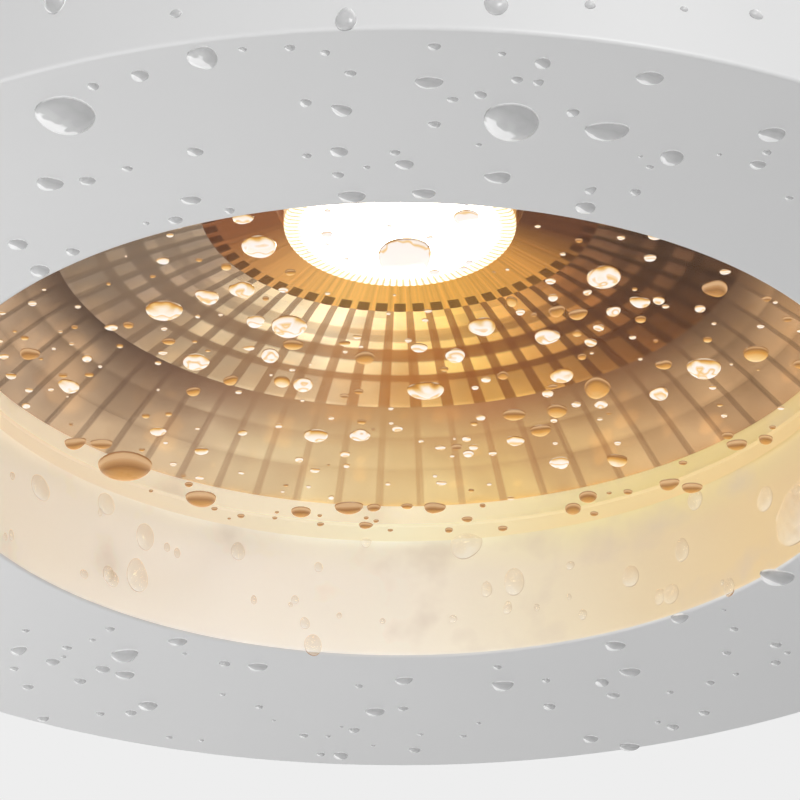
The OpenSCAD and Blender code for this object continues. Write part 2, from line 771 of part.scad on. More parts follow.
// The earth lead ends in a ring terminal under the earth screw
module earth_lead() {
    crimp_l = crimp_end_y - earth_at[1] - earth_post_d / 2 - free_gap;
    color("yellowgreen") {
        lead(earth_route, wire_d, [0.1, 1, 0.2]);
        difference() {
            union() {
                at(earth_at) translate([0, 0, earth_post_z - ring_t]) cylinder(h = ring_t, d = ring_d);
                translate([earth_at[0], crimp_end_y, earth_post_z - ring_t / 2])
                    rotate([90, 0, 0]) cylinder(h = crimp_l, d = wire_d + 1);
            }
            at(earth_at) translate([0, 0, -lamp_h / 2]) cylinder(h = lamp_h, d = m3_d + 2 * fit);
        }
    }
}

module mains_leads() {
    color("saddlebrown") lead(live_route, wire_d);
    color("royalblue") lead(neutral_route, wire_d);
}

module driver_case() {
    color("white") difference() {
        union() {
            translate([0, driver_y, cover_top]) centred_box(driver_l, driver_w, driver_top - cover_top);
            for (s = [-1, 1]) translate([s * ear_x, ear_y, driver_top - ear_t]) {
                cylinder(h = ear_t, d = ear_d);
                translate([-s * ear_d / 2, 0, 0]) centred_box(ear_d, ear_d, ear_t);
            }
        }
        translate([0, driver_y, cover_top - eps])
            centred_box(inner_l, inner_w, driver_top - cover_top - driver_wall + eps);
        for (s = [-1, 1]) translate([s * ear_x, ear_y, driver_top - ear_t - eps])
            cylinder(h = lamp_h, d = m3_d + 2 * free_gap);
        for (x = lead_in_x) translate([x, driver_y - driver_w / 2, lead_in_z])
            rotate([90, 0, 0]) cylinder(h = 3 * driver_wall, d = wire_hole_d, center = true);
    }
}

module driver_cover() {
    color("white") difference() {
        translate([0, driver_y, driver_bottom]) centred_box(driver_l, driver_w, cover_t);
        translate([0, 0, driver_bottom - eps]) cylinder(h = lamp_h, d = socket_d + 2 * free_gap);
    }
}

module driver_screws() {
    color("silver") for (s = [-1, 1]) translate([s * ear_x, ear_y, driver_top - ear_t - m3_head_h])
        screw(m3_d, m3_head_d, m3_head_h, ear_t + post_h);
}

module driver_board() {
    color("seagreen") translate([0, driver_y, pcb_z])
        centred_box(inner_l - 2 * free_gap, inner_w - 2 * free_gap, pcb_t);
}

module driver_transformer() {
    color("gold") translate([transformer_x, driver_y, pcb_z + pcb_t]) {
        centred_box(core_size[0], core_size[1], core_size[2]);
        translate([0, 0, winding_lift]) centred_box(winding_size[0], winding_size[1], winding_size[2]);
    }
}

module driver_capacitors() {
    color("darkslategray") translate([0, driver_y, pcb_z + pcb_t])
        for (c = capacitors) translate([c[0], c[1], 0]) cylinder(h = c[3], d = c[2]);
}

module dc_socket() {
    color("dimgray") {
        difference() {
            translate([0, 0, socket_end]) cylinder(h = pcb_z - socket_end, d = socket_d);
            translate([0, 0, socket_end - eps]) cylinder(h = socket_depth + eps, d = socket_bore_d);
        }
        translate([0, 0, socket_end + pin_set_back]) cylinder(h = socket_depth, d = pin_d);
    }
}

housing();
glass_lens();
lens_seal();
reflector();
light_disc();
led_holder();
led_holder_screws();
led_board();
led_emitter();
thermal_pad();
heat_sink();
heat_sink_screws();
plug_holder();
plug_holder_screws();
dc_plug();
led_leads();
base_plate();
bayonet_ring();
ring_screws();
base_gasket();
base_o_ring();
cable_grommet();
terminal_block();
terminal_screws();
earth_screw();
earth_lead();
mains_leads();
driver_case();
driver_cover();
driver_screws();
driver_board();
driver_transformer();
driver_capacitors();
dc_socket();
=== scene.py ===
# %% [markdown]
# An outdoor ceiling light, seen from below: a white can with a wide flat face, a recess, a clear
# glass, and a faceted reflector around a lit disc. It is wet, and rain drops hang from all of it.
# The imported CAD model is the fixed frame. This script gives it its finishes, and it adds what the
# CAD leaves out: the fine shape of the reflector and of the light disc, the coat of paint on the
# can, and the water.

# %% Load the frame
import math
import bmesh
import bpy
import numpy as np
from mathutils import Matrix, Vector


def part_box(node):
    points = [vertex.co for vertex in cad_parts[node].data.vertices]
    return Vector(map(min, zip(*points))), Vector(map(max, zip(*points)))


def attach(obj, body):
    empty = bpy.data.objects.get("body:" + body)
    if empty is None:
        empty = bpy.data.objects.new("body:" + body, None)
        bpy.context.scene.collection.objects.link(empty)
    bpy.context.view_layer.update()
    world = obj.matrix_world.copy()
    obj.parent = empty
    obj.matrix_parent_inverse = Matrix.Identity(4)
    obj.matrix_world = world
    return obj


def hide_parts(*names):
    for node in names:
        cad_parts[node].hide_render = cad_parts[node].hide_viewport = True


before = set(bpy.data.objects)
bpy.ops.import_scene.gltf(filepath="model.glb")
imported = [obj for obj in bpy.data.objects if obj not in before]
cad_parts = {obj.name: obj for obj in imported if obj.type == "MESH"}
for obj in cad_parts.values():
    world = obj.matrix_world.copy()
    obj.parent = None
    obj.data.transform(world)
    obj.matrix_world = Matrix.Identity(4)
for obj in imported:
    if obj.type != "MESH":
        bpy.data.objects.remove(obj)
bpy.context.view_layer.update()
print("CAD nodes:", len(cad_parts))

# %% [markdown]
# All sizes are read off the frame. They could be typed in again, but then they would go wrong as
# soon as the CAD changes. Every place in the light head is a radius and a depth in millimetres,
# and the depth is measured up from the can's face, as it is in the CAD.

# %% Driving places
MM = 0.001
can_low, can_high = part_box("housing")
glass_low, glass_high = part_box("glass_lens")
face_z = can_low.z
can_r = can_high.x / MM
can_h = (can_high.z - face_z) / MM
glass_r = glass_high.x / MM
glass_gap = 0.05
opening_r = glass_r + glass_gap
glass_depth = (glass_low.z - face_z) / MM
glass_thick = (glass_high.z - glass_low.z) / MM
print("can radius %.2f, height %.2f, opening radius %.2f, glass %.2f mm deep"
      % (can_r, can_h, opening_r, glass_depth))

# %% [markdown]
# The camera stands 28 degrees below the face and looks up at it, so the near rim is at the top
# of the picture. It could be placed by eye, but the two edges of the flat ring settle it: how much
# flatter their far halves are than their near halves gives the distance, and their width gives
# the lens.

# %% Camera
PICTURE = 800
camera_distance = 331.28 * MM
camera_elevation = math.radians(28.173)
axis_elevation = math.radians(28.803)
camera_data = bpy.data.cameras.new("camera")
camera_data.lens = 207.19
camera_data.sensor_width = 36.0
camera_data.clip_start = 0.01
camera_data.clip_end = 20.0
camera = bpy.data.objects.new("camera", camera_data)
bpy.context.scene.collection.objects.link(camera)
eye = np.array([0.0, -math.cos(camera_elevation), -math.sin(camera_elevation)]) * camera_distance
eye[2] += face_z
camera.location = eye
camera.rotation_euler = (math.pi / 2 + axis_elevation, 0.0, 0.0)
bpy.context.scene.camera = camera
forward = np.array([0.0, math.cos(axis_elevation), math.sin(axis_elevation)])
rightward = np.array([1.0, 0.0, 0.0])
upward = np.array([0.0, -math.sin(axis_elevation), math.cos(axis_elevation)])
focal = camera_data.lens / camera_data.sensor_width * PICTURE
print("camera at", np.round(eye / MM, 1), "mm, focal length", round(focal), "pixels")

# %% [markdown]
# Finishes are node trees. They could be wired by hand in the shader editor, but written out they
# can be read and changed. Colours are written as sRGB hex, as a paint chart gives them, and one
# function turns them to the linear values that shaders use. Another adds a node with its settings
# and its links. Five kinds of node make up most of the trees, so each has a short function too.

# %% Colour and node helpers


def colour(code):
    """Linear red, green, blue and alpha of an sRGB hex value: each channel is divided by 12.92
    when it is dark, and otherwise shifted by 0.055 and raised to the power 2.4."""
    parts = np.array([int(code[i:i + 2], 16) for i in (0, 2, 4)]) / 255
    linear = np.where(parts <= 0.04045, parts / 12.92, ((parts + 0.055) / 1.055) ** 2.4)
    return (*linear.tolist(), 1.0)


def add(tree, kind, links=None, **settings):
    """Adds a node, whose properties are settings. links gives its inputs by name or number: a
    value, a hex colour, another node, or a node's output."""
    node = tree.nodes.new("ShaderNode" + kind)
    for name, value in settings.items():
        setattr(node, name, value)
    for key, value in (links or {}).items():
        named = [s for s in node.inputs if s.enabled and s.name == key]
        socket = named[0] if named else node.inputs[key]
        if isinstance(value, bpy.types.Node):
            value = [s for s in value.outputs if s.enabled][0]
        if isinstance(value, bpy.types.NodeSocket):
            tree.links.new(value, socket)
        else:
            socket.default_value = colour(value) if isinstance(value, str) else value
    return node


def maths(tree, operation, *values, clamp=False):
    """A number worked out from others, and held between 0 and 1 if clamp is set."""
    return add(tree, "Math", dict(enumerate(values)), operation=operation, use_clamp=clamp)


def rescale(tree, value, low=0.0, high=1.0, new_low=0.0, new_high=1.0, clamp=True):
    """A number moved from one range to another, and held inside it unless clamp is off."""
    return add(tree, "MapRange", {0: value, 1: low, 2: high, 3: new_low, 4: new_high}, clamp=clamp)


def blend(tree, factor, first, second, how="MIX"):
    """A colour between two others: the first where factor is 0, the second where it is 1."""
    return add(tree, "Mix", {"Factor": factor, "A": first, "B": second}, data_type="RGBA",
               blend_type=how)


def noise(tree, place, grain, detail):
    """A number that wanders from cloud to cloud, which lie grain millimetres apart."""
    return add(tree, "TexNoise", {"Vector": place, "Scale": 1 / grain, "Detail": detail})


def ramp(tree, factor, stops):
    """A colour along a ramp. Its stops are places and hex colours, in rising order."""
    node = add(tree, "ValToRGB", {0: factor})
    elements = node.color_ramp.elements
    elements[0].position, elements[1].position = stops[0][0], stops[-1][0]
    for place, _ in stops[1:-1]:
        elements.new(place)
    for element, (_, code) in zip(elements, stops):
        element.color = colour(code)
    return node


# %% [markdown]
# Three steps come back in many finishes, so each is worked out once. A finish starts from Object
# coordinates in millimetres. The lamp is round, so its finishes ask how far a point is from the
# axis. And a material may answer some rays in another way than others.

# %% Steps that many finishes share
BACKGROUND_RAYS = ("Camera", "Glossy", "Transmission")
PASSING_RAYS = ("Shadow", "Diffuse")


def new_finish(name):
    """An empty node material. Returns it, its tree and its Object coordinates in millimetres."""
    material = bpy.data.materials.new(name)
    material.use_nodes = True
    tree = material.node_tree
    tree.nodes.clear()
    coordinates = add(tree, "TexCoord").outputs["Object"]
    place = add(tree, "VectorMath", {0: coordinates, "Scale": 1 / MM}, operation="SCALE")
    return material, tree, place


def axes_and_radius(tree, place):
    """The X, Y and Z of a point, and its distance from the lamp's axis: the root of X squared
    and Y squared."""
    axes = add(tree, "SeparateXYZ", {0: place}).outputs
    flat_place = add(tree, "CombineXYZ", {"X": axes["X"], "Y": axes["Y"]})
    return axes, add(tree, "VectorMath", {0: flat_place}, operation="LENGTH").outputs["Value"]


def is_ray(tree, kinds):
    """1 for rays of any of some kinds, and 0 for the others: the greatest of their flags."""
    rays = add(tree, "LightPath").outputs
    flag = rays["Is %s Ray" % kinds[0]]
    for kind in kinds[1:]:
        flag = maths(tree, "MAXIMUM", flag, rays["Is %s Ray" % kind])
    return flag


def paint(material, *nodes):
    """Gives CAD nodes a finish."""
    for name in nodes:
        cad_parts[name].data.materials.clear()
        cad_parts[name].data.materials.append(material)
    print("%s: %s" % (material.name, ", ".join(nodes)))


# %% [markdown]
# The can is die-cast aluminium with a white powder coat. The powder melts into a skin with a
# slight orange peel, about 0.6 mm from bump to bump, so it is satin: its highlights are broad and
# soft. Inside the recess the lamp shines into the coat from all round, so it glows there in warm
# white, more golden to the right and nearest the glass, and the drops on the glass shade it in
# faint blotches. The lamp alone could light it, but that takes many more rays, so ramps across the
# recess give its tones as painted light, noise gives the blotches as painted shadow, and the coat
# gives out part of these tones itself.

# %% White powder coat
lip_reach, lip_depth = 0.25, 0.12
band_height = 3.0
recess_stops = [(0.0, "F9EEE2"), (0.3, "F8F4F4"), (0.5, "E8E4DE"), (0.66, "D6CCB2"),
                (0.78, "C6B080"), (0.9, "C4A24C"), (1.0, "B89034")]
band_stops = [(0.0, "F4E8D6"), (0.3, "EEEAE0"), (0.5, "F0EEDE"), (0.7, "D6CC94"), (0.82, "CAB864"),
              (1.0, "C0A048")]
edge_stops = [(0.0, "F6DDBD"), (0.3, "F1E2C9"), (0.5, "F4ECCD"), (0.7, "EDD7A5"), (1.0, "E3C38D")]
coat, tree, place = new_finish("white_powder_coat")
axes, radius = axes_and_radius(tree, place)
side = rescale(tree, axes["X"], -opening_r, opening_r)
depth = maths(tree, "SUBTRACT", axes["Z"], face_z / MM)
wall_tone = ramp(tree, side, recess_stops)
band_tone = ramp(tree, side, band_stops)
near_glass = rescale(tree, depth, glass_depth - band_height, glass_depth)
lit_tone = blend(tree, near_glass, wall_tone, band_tone)
# Painted shadow: soft darker blotches where the drops on the glass shade the recess wall.
painted_drop_shadows = noise(tree, place, 5.0, 3.0)
painted_drop_shadows = rescale(tree, painted_drop_shadows, 0.53, 0.72, 0.0, 0.36)
lit_tone = blend(tree, painted_drop_shadows, lit_tone, "A4908A")
cloud = noise(tree, place, 20.0, 2.0)
paint_tone = blend(tree, cloud, "DCDCDC", "E2E2E2")
within = maths(tree, "LESS_THAN", radius, opening_r + lip_reach)
above_lip = maths(tree, "GREATER_THAN", depth, lip_depth)
recess = maths(tree, "MULTIPLY", within, above_lip)
tinted = maths(tree, "MULTIPLY", recess, 0.5)
tone = blend(tree, tinted, paint_tone, lit_tone)
glow = blend(tree, recess, "000000", lit_tone)
above_glass = rescale(tree, depth, glass_depth + glass_thick / 2, glass_depth + glass_thick)
glow = blend(tree, above_glass, glow, "FFF7EB", how="MULTIPLY")
power = rescale(tree, above_glass, 0.0, 1.0, 0.29, 0.46)
peel = noise(tree, place, 0.6, 2.0)
bump = add(tree, "Bump", {"Height": peel, "Strength": 0.06, "Distance": 0.1 * MM})
skin = add(tree, "BsdfPrincipled", {"Base Color": tone, "Roughness": 0.42, "Normal": bump,
                                    "Emission Color": glow, "Emission Strength": power})
add(tree, "OutputMaterial", {"Surface": skin})
paint(coat, "housing")

# %% [markdown]
# The glass is a clear toughened disc. Its two faces are polished, and its edge is ground and
# bonded in, so light from the reflector turns it into a pale glowing band. Two materials could
# share the disc, but a CAD node's mesh stays as it is, so one node tree does both: where the
# surface turns away from the vertical, it is the edge. Its anti-reflection coating leaves a tenth
# of bare glass's mirror image. Shadow rays and diffuse rays pass straight through, so the lamp
# lights the recess without noise.

# %% Clear glass
glass, tree, place = new_finish("toughened_glass")
facing = add(tree, "SeparateXYZ", {0: add(tree, "NewGeometry").outputs["True Normal"]})
upright = maths(tree, "ABSOLUTE", facing.outputs["Z"])
is_edge = maths(tree, "LESS_THAN", upright, 0.95)
side = add(tree, "SeparateXYZ", {0: place}).outputs["X"]
side = rescale(tree, side, -opening_r, opening_r)
edge_tone = ramp(tree, side, edge_stops)
bent = add(tree, "BsdfRefraction", {"Color": "FCFDFC", "Roughness": 0.0, "IOR": 1.5})
mirror = add(tree, "BsdfAnisotropic", {"Color": "FFFFFF", "Roughness": 0.0})
mirrored = maths(tree, "MULTIPLY", add(tree, "Fresnel", {"IOR": 1.5}), 0.1)
clear = add(tree, "MixShader", {0: mirrored, 1: bent, 2: mirror})
through = add(tree, "BsdfTransparent", {"Color": "FAFBFA"})
frosted = add(tree, "VectorMath", {0: edge_tone, "Scale": 0.45}, operation="SCALE")
ground = add(tree, "BsdfPrincipled", {"Base Color": frosted, "Roughness": 0.6,
                                      "Emission Color": edge_tone, "Emission Strength": 0.68})
faces = add(tree, "MixShader", {0: is_ray(tree, PASSING_RAYS), 1: clear, 2: through})
surface = add(tree, "MixShader", {0: is_edge, 1: faces, 2: ground})
add(tree, "OutputMaterial", {"Surface": surface})
paint(glass, "glass_lens")

# %% [markdown]
# The parts behind the glass and in the ceiling base are hidden while the lamp is on. They get
# their real finishes all the same, so that the part can be taken apart. Each could have a long
# node tree of its own, but up close such parts differ in tone, grain and shine, so one function
# does: a tone that wanders between two colours at the distance of the material's real grain.

# %% Mouldings and rubbers


def grained(name, light, dark, grain, roughness, metallic=0.0, relief=0.02, stretch=(1, 1, 1),
            on=()):
    """A finish of two hex colours for the CAD nodes in on. grain is the distance in millimetres
    from cloud to cloud, stretch squeezes the pattern along each axis, and relief is the bumps'
    height in millimetres. Returns its tree, its place and its shader."""
    material, tree, place = new_finish(name)
    drawn = add(tree, "VectorMath", {0: place, 1: stretch}, operation="MULTIPLY")
    grains = noise(tree, drawn, grain, 3.0)
    tone = blend(tree, grains, dark, light)
    bump = add(tree, "Bump", {"Height": grains, "Strength": 0.5, "Distance": relief * MM})
    shader = add(tree, "BsdfPrincipled", {"Base Color": tone, "Roughness": roughness,
                                          "Metallic": metallic, "Normal": bump})
    add(tree, "OutputMaterial", {"Surface": shader})
    paint(material, *on)
    return tree, place, shader


# Polycarbonate mouldings: white, with a fine spark-eroded texture that makes them look matt.
grained("moulded_white_plastic", "ECECE8", "E2E2DE", 0.4, 0.5,
        on=("led_holder", "plug_holder", "driver_case", "driver_cover"))
# Black mouldings of the plug and its socket: the same texture, with a soft grey sheen.
grained("moulded_black_plastic", "262626", "1A1A1A", 0.4, 0.45, on=("dc_plug", "dc_socket"))
# Ivory melamine of the terminal block: warm, smooth and a little shiny.
grained("ivory_melamine", "EEE6D0", "E6DCC2", 1.5, 0.35, relief=0.005, on=("terminal_block",))
# Thermal pad: filled silicone, a soft matt grey.
grained("grey_silicone_pad", "8C9094", "7A7E82", 0.3, 0.75, relief=0.03, on=("thermal_pad",))
# Lens seal: clear silicone, milky because of its thickness, with a wet-looking surface.
tree, place, shader = grained("clear_silicone", "F2EEE4", "E4DECE", 1.0, 0.25, relief=0.01,
                              on=("lens_seal",))
shader.inputs["Transmission Weight"].default_value = 0.4
shader.inputs["IOR"].default_value = 1.41
# Gasket: closed-cell foam rubber, dark grey and matt, with cells about 0.3 mm wide.
grained("grey_foam_rubber", "5C5E60", "3E4042", 0.3, 0.9, relief=0.1, on=("base_gasket",))
# O-ring and grommet: black rubber with a dull satin skin.
grained("black_rubber", "2A2A2A", "1C1C1C", 0.6, 0.6, on=("base_o_ring", "cable_grommet"))

# %% [markdown]
# Bare metal shows what is around it, so its colour is only a tint, and how it was made shows in
# its grain: blotches of zinc, a sandy cast skin, or lines that run along an extruded fin. A scan
# of a real surface could give that too, but a noise with the right distance does at this size.

# %% Metals
# Screws: steel with bright zinc, which gives them a cool, faintly blue and blotchy shine.
grained("bright_zinc", "C9CED4", "A9B0B8", 0.8, 0.3, 1.0, relief=0.005,
        on=("led_holder_screws", "heat_sink_screws", "plug_holder_screws", "ring_screws",
            "driver_screws"))
# Terminal and earth screws: turned brass, yellow and bright, a bit browner where it is handled.
grained("turned_brass", "D8B868", "B8903C", 0.8, 0.28, 1.0, relief=0.005,
        on=("terminal_screws", "earth_screw"))
# Base plate and bayonet ring: as-cast aluminium, a matt light grey with a sandy skin.
grained("sand_cast_aluminium", "B4B6B8", "94979A", 0.5, 0.55, 1.0, relief=0.05,
        on=("base_plate", "bayonet_ring"))
# Heat sink: extruded aluminium, bright, with die lines that run along the fins.
grained("extruded_aluminium", "D0D2D4", "A8ABAE", 0.3, 0.32, 1.0, relief=0.01,
        stretch=(1, 1, 0.02), on=("heat_sink",))

# %% [markdown]
# Circuit boards, coils and wires are known by a second colour: tracks under the solder mask, dark
# lines between turns of wire, a yellow stripe. It could be modelled, but it is as flat as print,
# so a pattern picks between two colours, and a fifth of the grained tone stays under it.

# %% Light source, driver and wires


def recolour(tree, shader, factor, first, second):
    """Gives a grained finish two colours by a pattern, shaded by its own grain."""
    old = shader.inputs["Base Color"].links[0].from_socket
    tone = blend(tree, factor, first, second)
    tone = blend(tree, 0.8, old, tone)
    tree.links.new([s for s in tone.outputs if s.enabled][0], shader.inputs["Base Color"])


def two_cores(name, node, line, first, second):
    """Soft vinyl insulation of two cores. line is (a, b, c): the first core lies where
    a x + b y + c is below zero, in millimetres, and the second where it is above."""
    tree, place, shader = grained(name, first, "000000", 1.0, 0.4, relief=0.005, on=(node,))
    beside = add(tree, "VectorMath", {0: place, 1: (line[0], line[1], 0.0)},
                 operation="DOT_PRODUCT").outputs["Value"]
    second_core = maths(tree, "GREATER_THAN", beside, -line[2])
    recolour(tree, shader, second_core, first, second)


# LED board: fired white ceramic, hard and even, with a very slight mottle.
grained("white_alumina_ceramic", "F2F2EE", "E8E8E4", 0.2, 0.4, relief=0.003, on=("led_board",))
# LED emitter: phosphor in silicone. It looks egg-yellow, and it glows while the lamp is on.
tree, place, shader = grained("lit_yellow_phosphor", "F4D24A", "E8BE34", 0.15, 0.35, relief=0.01,
                              on=("led_emitter",))
shader.inputs["Emission Color"].default_value = colour("FFE6A8")
shader.inputs["Emission Strength"].default_value = 3.0
# Capacitors: shrunk vinyl sleeve, nearly black with a blue cast, and glossy.
grained("dark_vinyl_sleeve", "23262E", "181A20", 2.0, 0.25, relief=0.005,
        on=("driver_capacitors",))
# Driver board: green solder mask, with tracks that show through lighter, 3 mm apart.
tree, place, shader = grained("green_solder_mask", "2E6B45", "235638", 0.5, 0.35, relief=0.005,
                              on=("driver_board",))
tracks = add(tree, "TexBrick", {"Vector": place, "Scale": 1 / 3.0, "Mortar Size": 0.06})
recolour(tree, shader, tracks.outputs["Fac"], "28603E", "4F9A63")
# Transformer: a coil of lacquered copper wire, 0.4 mm thick, with a dark line between turns. A
# wave texture's period is 0.314 over its scale.
WAVE_PERIOD = 0.314
tree, place, shader = grained("lacquered_copper_wire", "B8683A", "A4572C", 0.5, 0.3, 0.8,
                              on=("driver_transformer",))
turns = add(tree, "TexWave", {"Vector": place, "Scale": WAVE_PERIOD / 0.4}, bands_direction="Z")
recolour(tree, shader, turns.outputs["Fac"], "5A2C16", "C47440")
# Earth lead: green and yellow, as the standard asks, in turns of 4 mm.
tree, place, shader = grained("green_yellow_insulation", "E2D23C", "D6C430", 1.0, 0.4,
                              relief=0.005, on=("earth_lead",))
turns = add(tree, "TexWave", {"Vector": place, "Scale": WAVE_PERIOD / 4.0},
            bands_direction="DIAGONAL")
half = maths(tree, "GREATER_THAN", turns.outputs["Fac"], 0.5)
recolour(tree, shader, half, "E6D42C", "2C7A3A")
# LED leads: black for minus and red for plus, on either side of the middle.
two_cores("red_black_insulation", "led_leads", (0.0, 1.0, 0.0), "1E1E1E", "B02A24")
# Mains leads: blue and brown. Their routes stay on either side of this slanting line.
two_cores("blue_brown_insulation", "mains_leads", (1.0, 0.536, 24.86), "2A5FA8", "6A4028")

# %% [markdown]
# Blender's own tools, such as Spin, could turn the new pieces, but an array of points leaves every
# one of them under control. A mesh is worked out ring by ring, and its faces follow from the grid:
# each point is joined with its neighbours in both directions. A closed direction joins its last
# row to its first, which leaves no seam. A volume above zero shows that the faces point outwards.

# %% Mesh helpers


def grid_faces(rows, columns, closed_rows):
    """Quads of a grid of points that is numbered row by row. Its columns wrap round."""
    i = np.arange(rows if closed_rows else rows - 1)[:, None]
    j = np.arange(columns)[None, :]
    i_next, j_next = (i + 1) % rows, (j + 1) % columns
    corners = [i * columns + j, i * columns + j_next, i_next * columns + j_next,
               i_next * columns + j]
    return np.stack([np.broadcast_to(c, (i.size, j.size)) for c in corners], -1).reshape(-1, 4)


def capped_faces(rows, columns):
    """Faces of a tube of rings: the quads of its wall, and one face over each end."""
    first = np.arange(columns)[::-1]
    last = np.arange(columns) + (rows - 1) * columns
    return [*grid_faces(rows, columns, False).tolist(), first.tolist(), last.tolist()]


def make_piece(name, points, faces, body, material, crease=math.radians(30)):
    """A smooth-shaded mesh piece that rides on a body. Edges sharper than crease stay sharp."""
    mesh = bpy.data.meshes.new(name)
    mesh.from_pydata(np.reshape(points, (-1, 3)).tolist(), [], faces)
    mesh.shade_smooth()
    mesh.set_sharp_from_angle(angle=crease)
    mesh.materials.append(material)
    piece = bpy.data.objects.new(name, mesh)
    bpy.context.scene.collection.objects.link(piece)
    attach(piece, body)
    solid = bmesh.new()
    solid.from_mesh(mesh)
    print("%s: %d faces, %.1f mm3" % (name, len(mesh.polygons),
                                      solid.calc_volume(signed=True) / MM ** 3))
    solid.free()
    return piece


def around(radius, depth, turn):
    """Points in metres at radii and depths in millimetres, turned by angles round the lamp."""
    x, y = radius * np.cos(turn), radius * np.sin(turn)
    return np.stack([x, y, depth + face_z / MM + 0 * x], -1) * MM


def arc(centre_r, centre_depth, size, start, end, steps=8):
    """Profile points on an arc: the centre plus size times cosine and sine of the angle."""
    a = np.radians(np.linspace(start, end, steps + 1))
    return np.stack([centre_r + size * np.cos(a), centre_depth + size * np.sin(a)], -1)


# %% [markdown]
# The coat is 0.06 mm thick, and it is a piece of its own, turned from one profile: down the side
# wall, round the outer edge, across the face and up the recess to the glass. It sits half in the
# metal. The metal could show its own skin, but the CAD's mesh is coarse along the edges. This
# finer turning gives them one clean line of light, 0.22 mm wide at the outer edge, where the coat
# fills the metal's rounder corner. Beside each arc a point is added, so that the shading of the
# flats stays flat.

# %% Coat of paint
edge_round = 0.22
lip_round = 0.3
rim_depth = 15.65
skin_out = 0.03
support = 0.12
wall_end = 0.2
behind_rim = 0.25
TURN_STEPS = 256


def coat_profile(out):
    """The can's section, moved outwards by out: the two flats and the face are straight, and
    the edges are quarter circles about their own centres."""
    return np.concatenate([
        [(can_r + out, can_h - wall_end), (can_r + out, edge_round + support)],
        arc(can_r - edge_round, edge_round, edge_round + out, 0, -90),
        [(can_r - edge_round - support, -out), (opening_r + lip_round + support, -out)],
        arc(opening_r + lip_round, lip_round, lip_round + out, -90, -180),
        [(opening_r - out, lip_round + support), (opening_r - out, rim_depth + behind_rim)]])


coat_loop = np.concatenate([coat_profile(skin_out), coat_profile(-skin_out)[::-1]])
coat_turn = np.arange(TURN_STEPS) / TURN_STEPS * 2 * np.pi
make_piece("paint_coat", around(coat_loop[:, :1], coat_loop[:, 1:], coat_turn[None, :]),
           grid_faces(len(coat_loop), TURN_STEPS, True)[:, ::-1].tolist(), "light_head",
           coat)

# %% [markdown]
# The reflector is a moulded plastic dish with a bronze-tinted metal film. Its front is cut into
# 64 columns of facets, in five rows inside a ridge and three rows outside it. Each facet is a
# small pillow. A bump map could fake the pillows, but then the ridge and the rim would stay round,
# so the dish has them in its shape. Rows get wider outwards: inside the ridge each is longer than
# the last by the same ratio, and outside it all are equal.

# %% Reflector sizes
COLUMNS = 64
INNER_ROWS = 5
OUTER_ROWS = 3
neck_r, neck_depth = 9.3, 23.2
facet_r, facet_depth = 13.9, 22.6
ridge_r, ridge_depth = 25.9, 20.15
rim_r = 34.0
dish_bulge = 0.25
shell = 1.2
flange_depth = rim_depth + 0.95
flange_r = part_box("reflector")[1].x / MM
pillow = 0.06
row_edges = np.concatenate([
    facet_r * (ridge_r / facet_r) ** (np.arange(INNER_ROWS) / INNER_ROWS),
    ridge_r + (rim_r - ridge_r) * np.arange(OUTER_ROWS + 1) / OUTER_ROWS])
print("row edges at radii", np.round(row_edges, 2), "mm")

# %% [markdown]
# The section of the dish starts at the neck, goes out over the facets to the rim, and comes back
# behind them, so the dish is a closed shell. The pillows are worked out on a fine grid: a column's
# pillow is a parabola across the column, a row's is one along the row, and they are multiplied.

# %% Reflector surface
ROW_STEPS = 5
COLUMN_STEPS = 6


def dish_depth(r):
    """Depth of the dish: a straight cone between a zone's two edges, and a parabola on it that
    is highest in the middle of the zone."""
    inside = r < ridge_r
    r0, r1 = np.where(inside, facet_r, ridge_r), np.where(inside, ridge_r, rim_r)
    d0, d1 = np.where(inside, facet_depth, ridge_depth), np.where(inside, ridge_depth, rim_depth)
    share = (r - r0) / (r1 - r0)
    return d0 + (d1 - d0) * share + 4 * dish_bulge * share * (1 - share)


dish_turn = (np.arange(COLUMNS * COLUMN_STEPS) / COLUMN_STEPS + 0.5) / COLUMNS * 2 * np.pi
across = np.arange(COLUMNS * COLUMN_STEPS) % COLUMN_STEPS / COLUMN_STEPS
step = np.tile(np.arange(ROW_STEPS) / ROW_STEPS, len(row_edges) - 1)
low, high = np.repeat(row_edges[:-1], ROW_STEPS), np.repeat(row_edges[1:], ROW_STEPS)
facet_line = dish_depth(low) + (dish_depth(high) - dish_depth(low)) * step
facet_swell = pillow * 16 * np.outer(step * (1 - step), across * (1 - across))
front_r = low + (high - low) * step
neck_line = np.linspace(0, 1, 6, endpoint=False)
behind = row_edges[:-1][::-1]
back = np.array([
    (rim_r, rim_depth), (rim_r, flange_depth), (flange_r, flange_depth),
    (flange_r, flange_depth + shell), (rim_r - 0.4, flange_depth + shell),
    *zip(behind, dish_depth(behind) + shell), (neck_r + 2.7, neck_depth + shell),
    (neck_r, neck_depth + shell)])
flat_turn = np.ones(len(dish_turn))
dish_r = np.concatenate([neck_r + (facet_r - neck_r) * neck_line, front_r, back[:, 0]])
dish_z = np.concatenate([
    np.outer(neck_depth + (facet_depth - neck_depth) * neck_line, flat_turn),
    facet_line[:, None] - facet_swell, np.outer(back[:, 1], flat_turn)])

# %% [markdown]
# The film is vacuum-coated metal over polished plastic. The lamp is lit, so what the eye sees is
# not the metal's colour: each facet holds a small picture of the lit wall or of the dark neck.
# Those pictures make a pattern of bright cells and dark strips that follows the facets, silvery to
# the left, golden in the middle and copper-brown to the right. A path tracer would need far more
# rays to find them, so the pattern is worked out here from the radius and the angle of the point,
# and most of it is given as light of its own. The rest is left to real reflection.

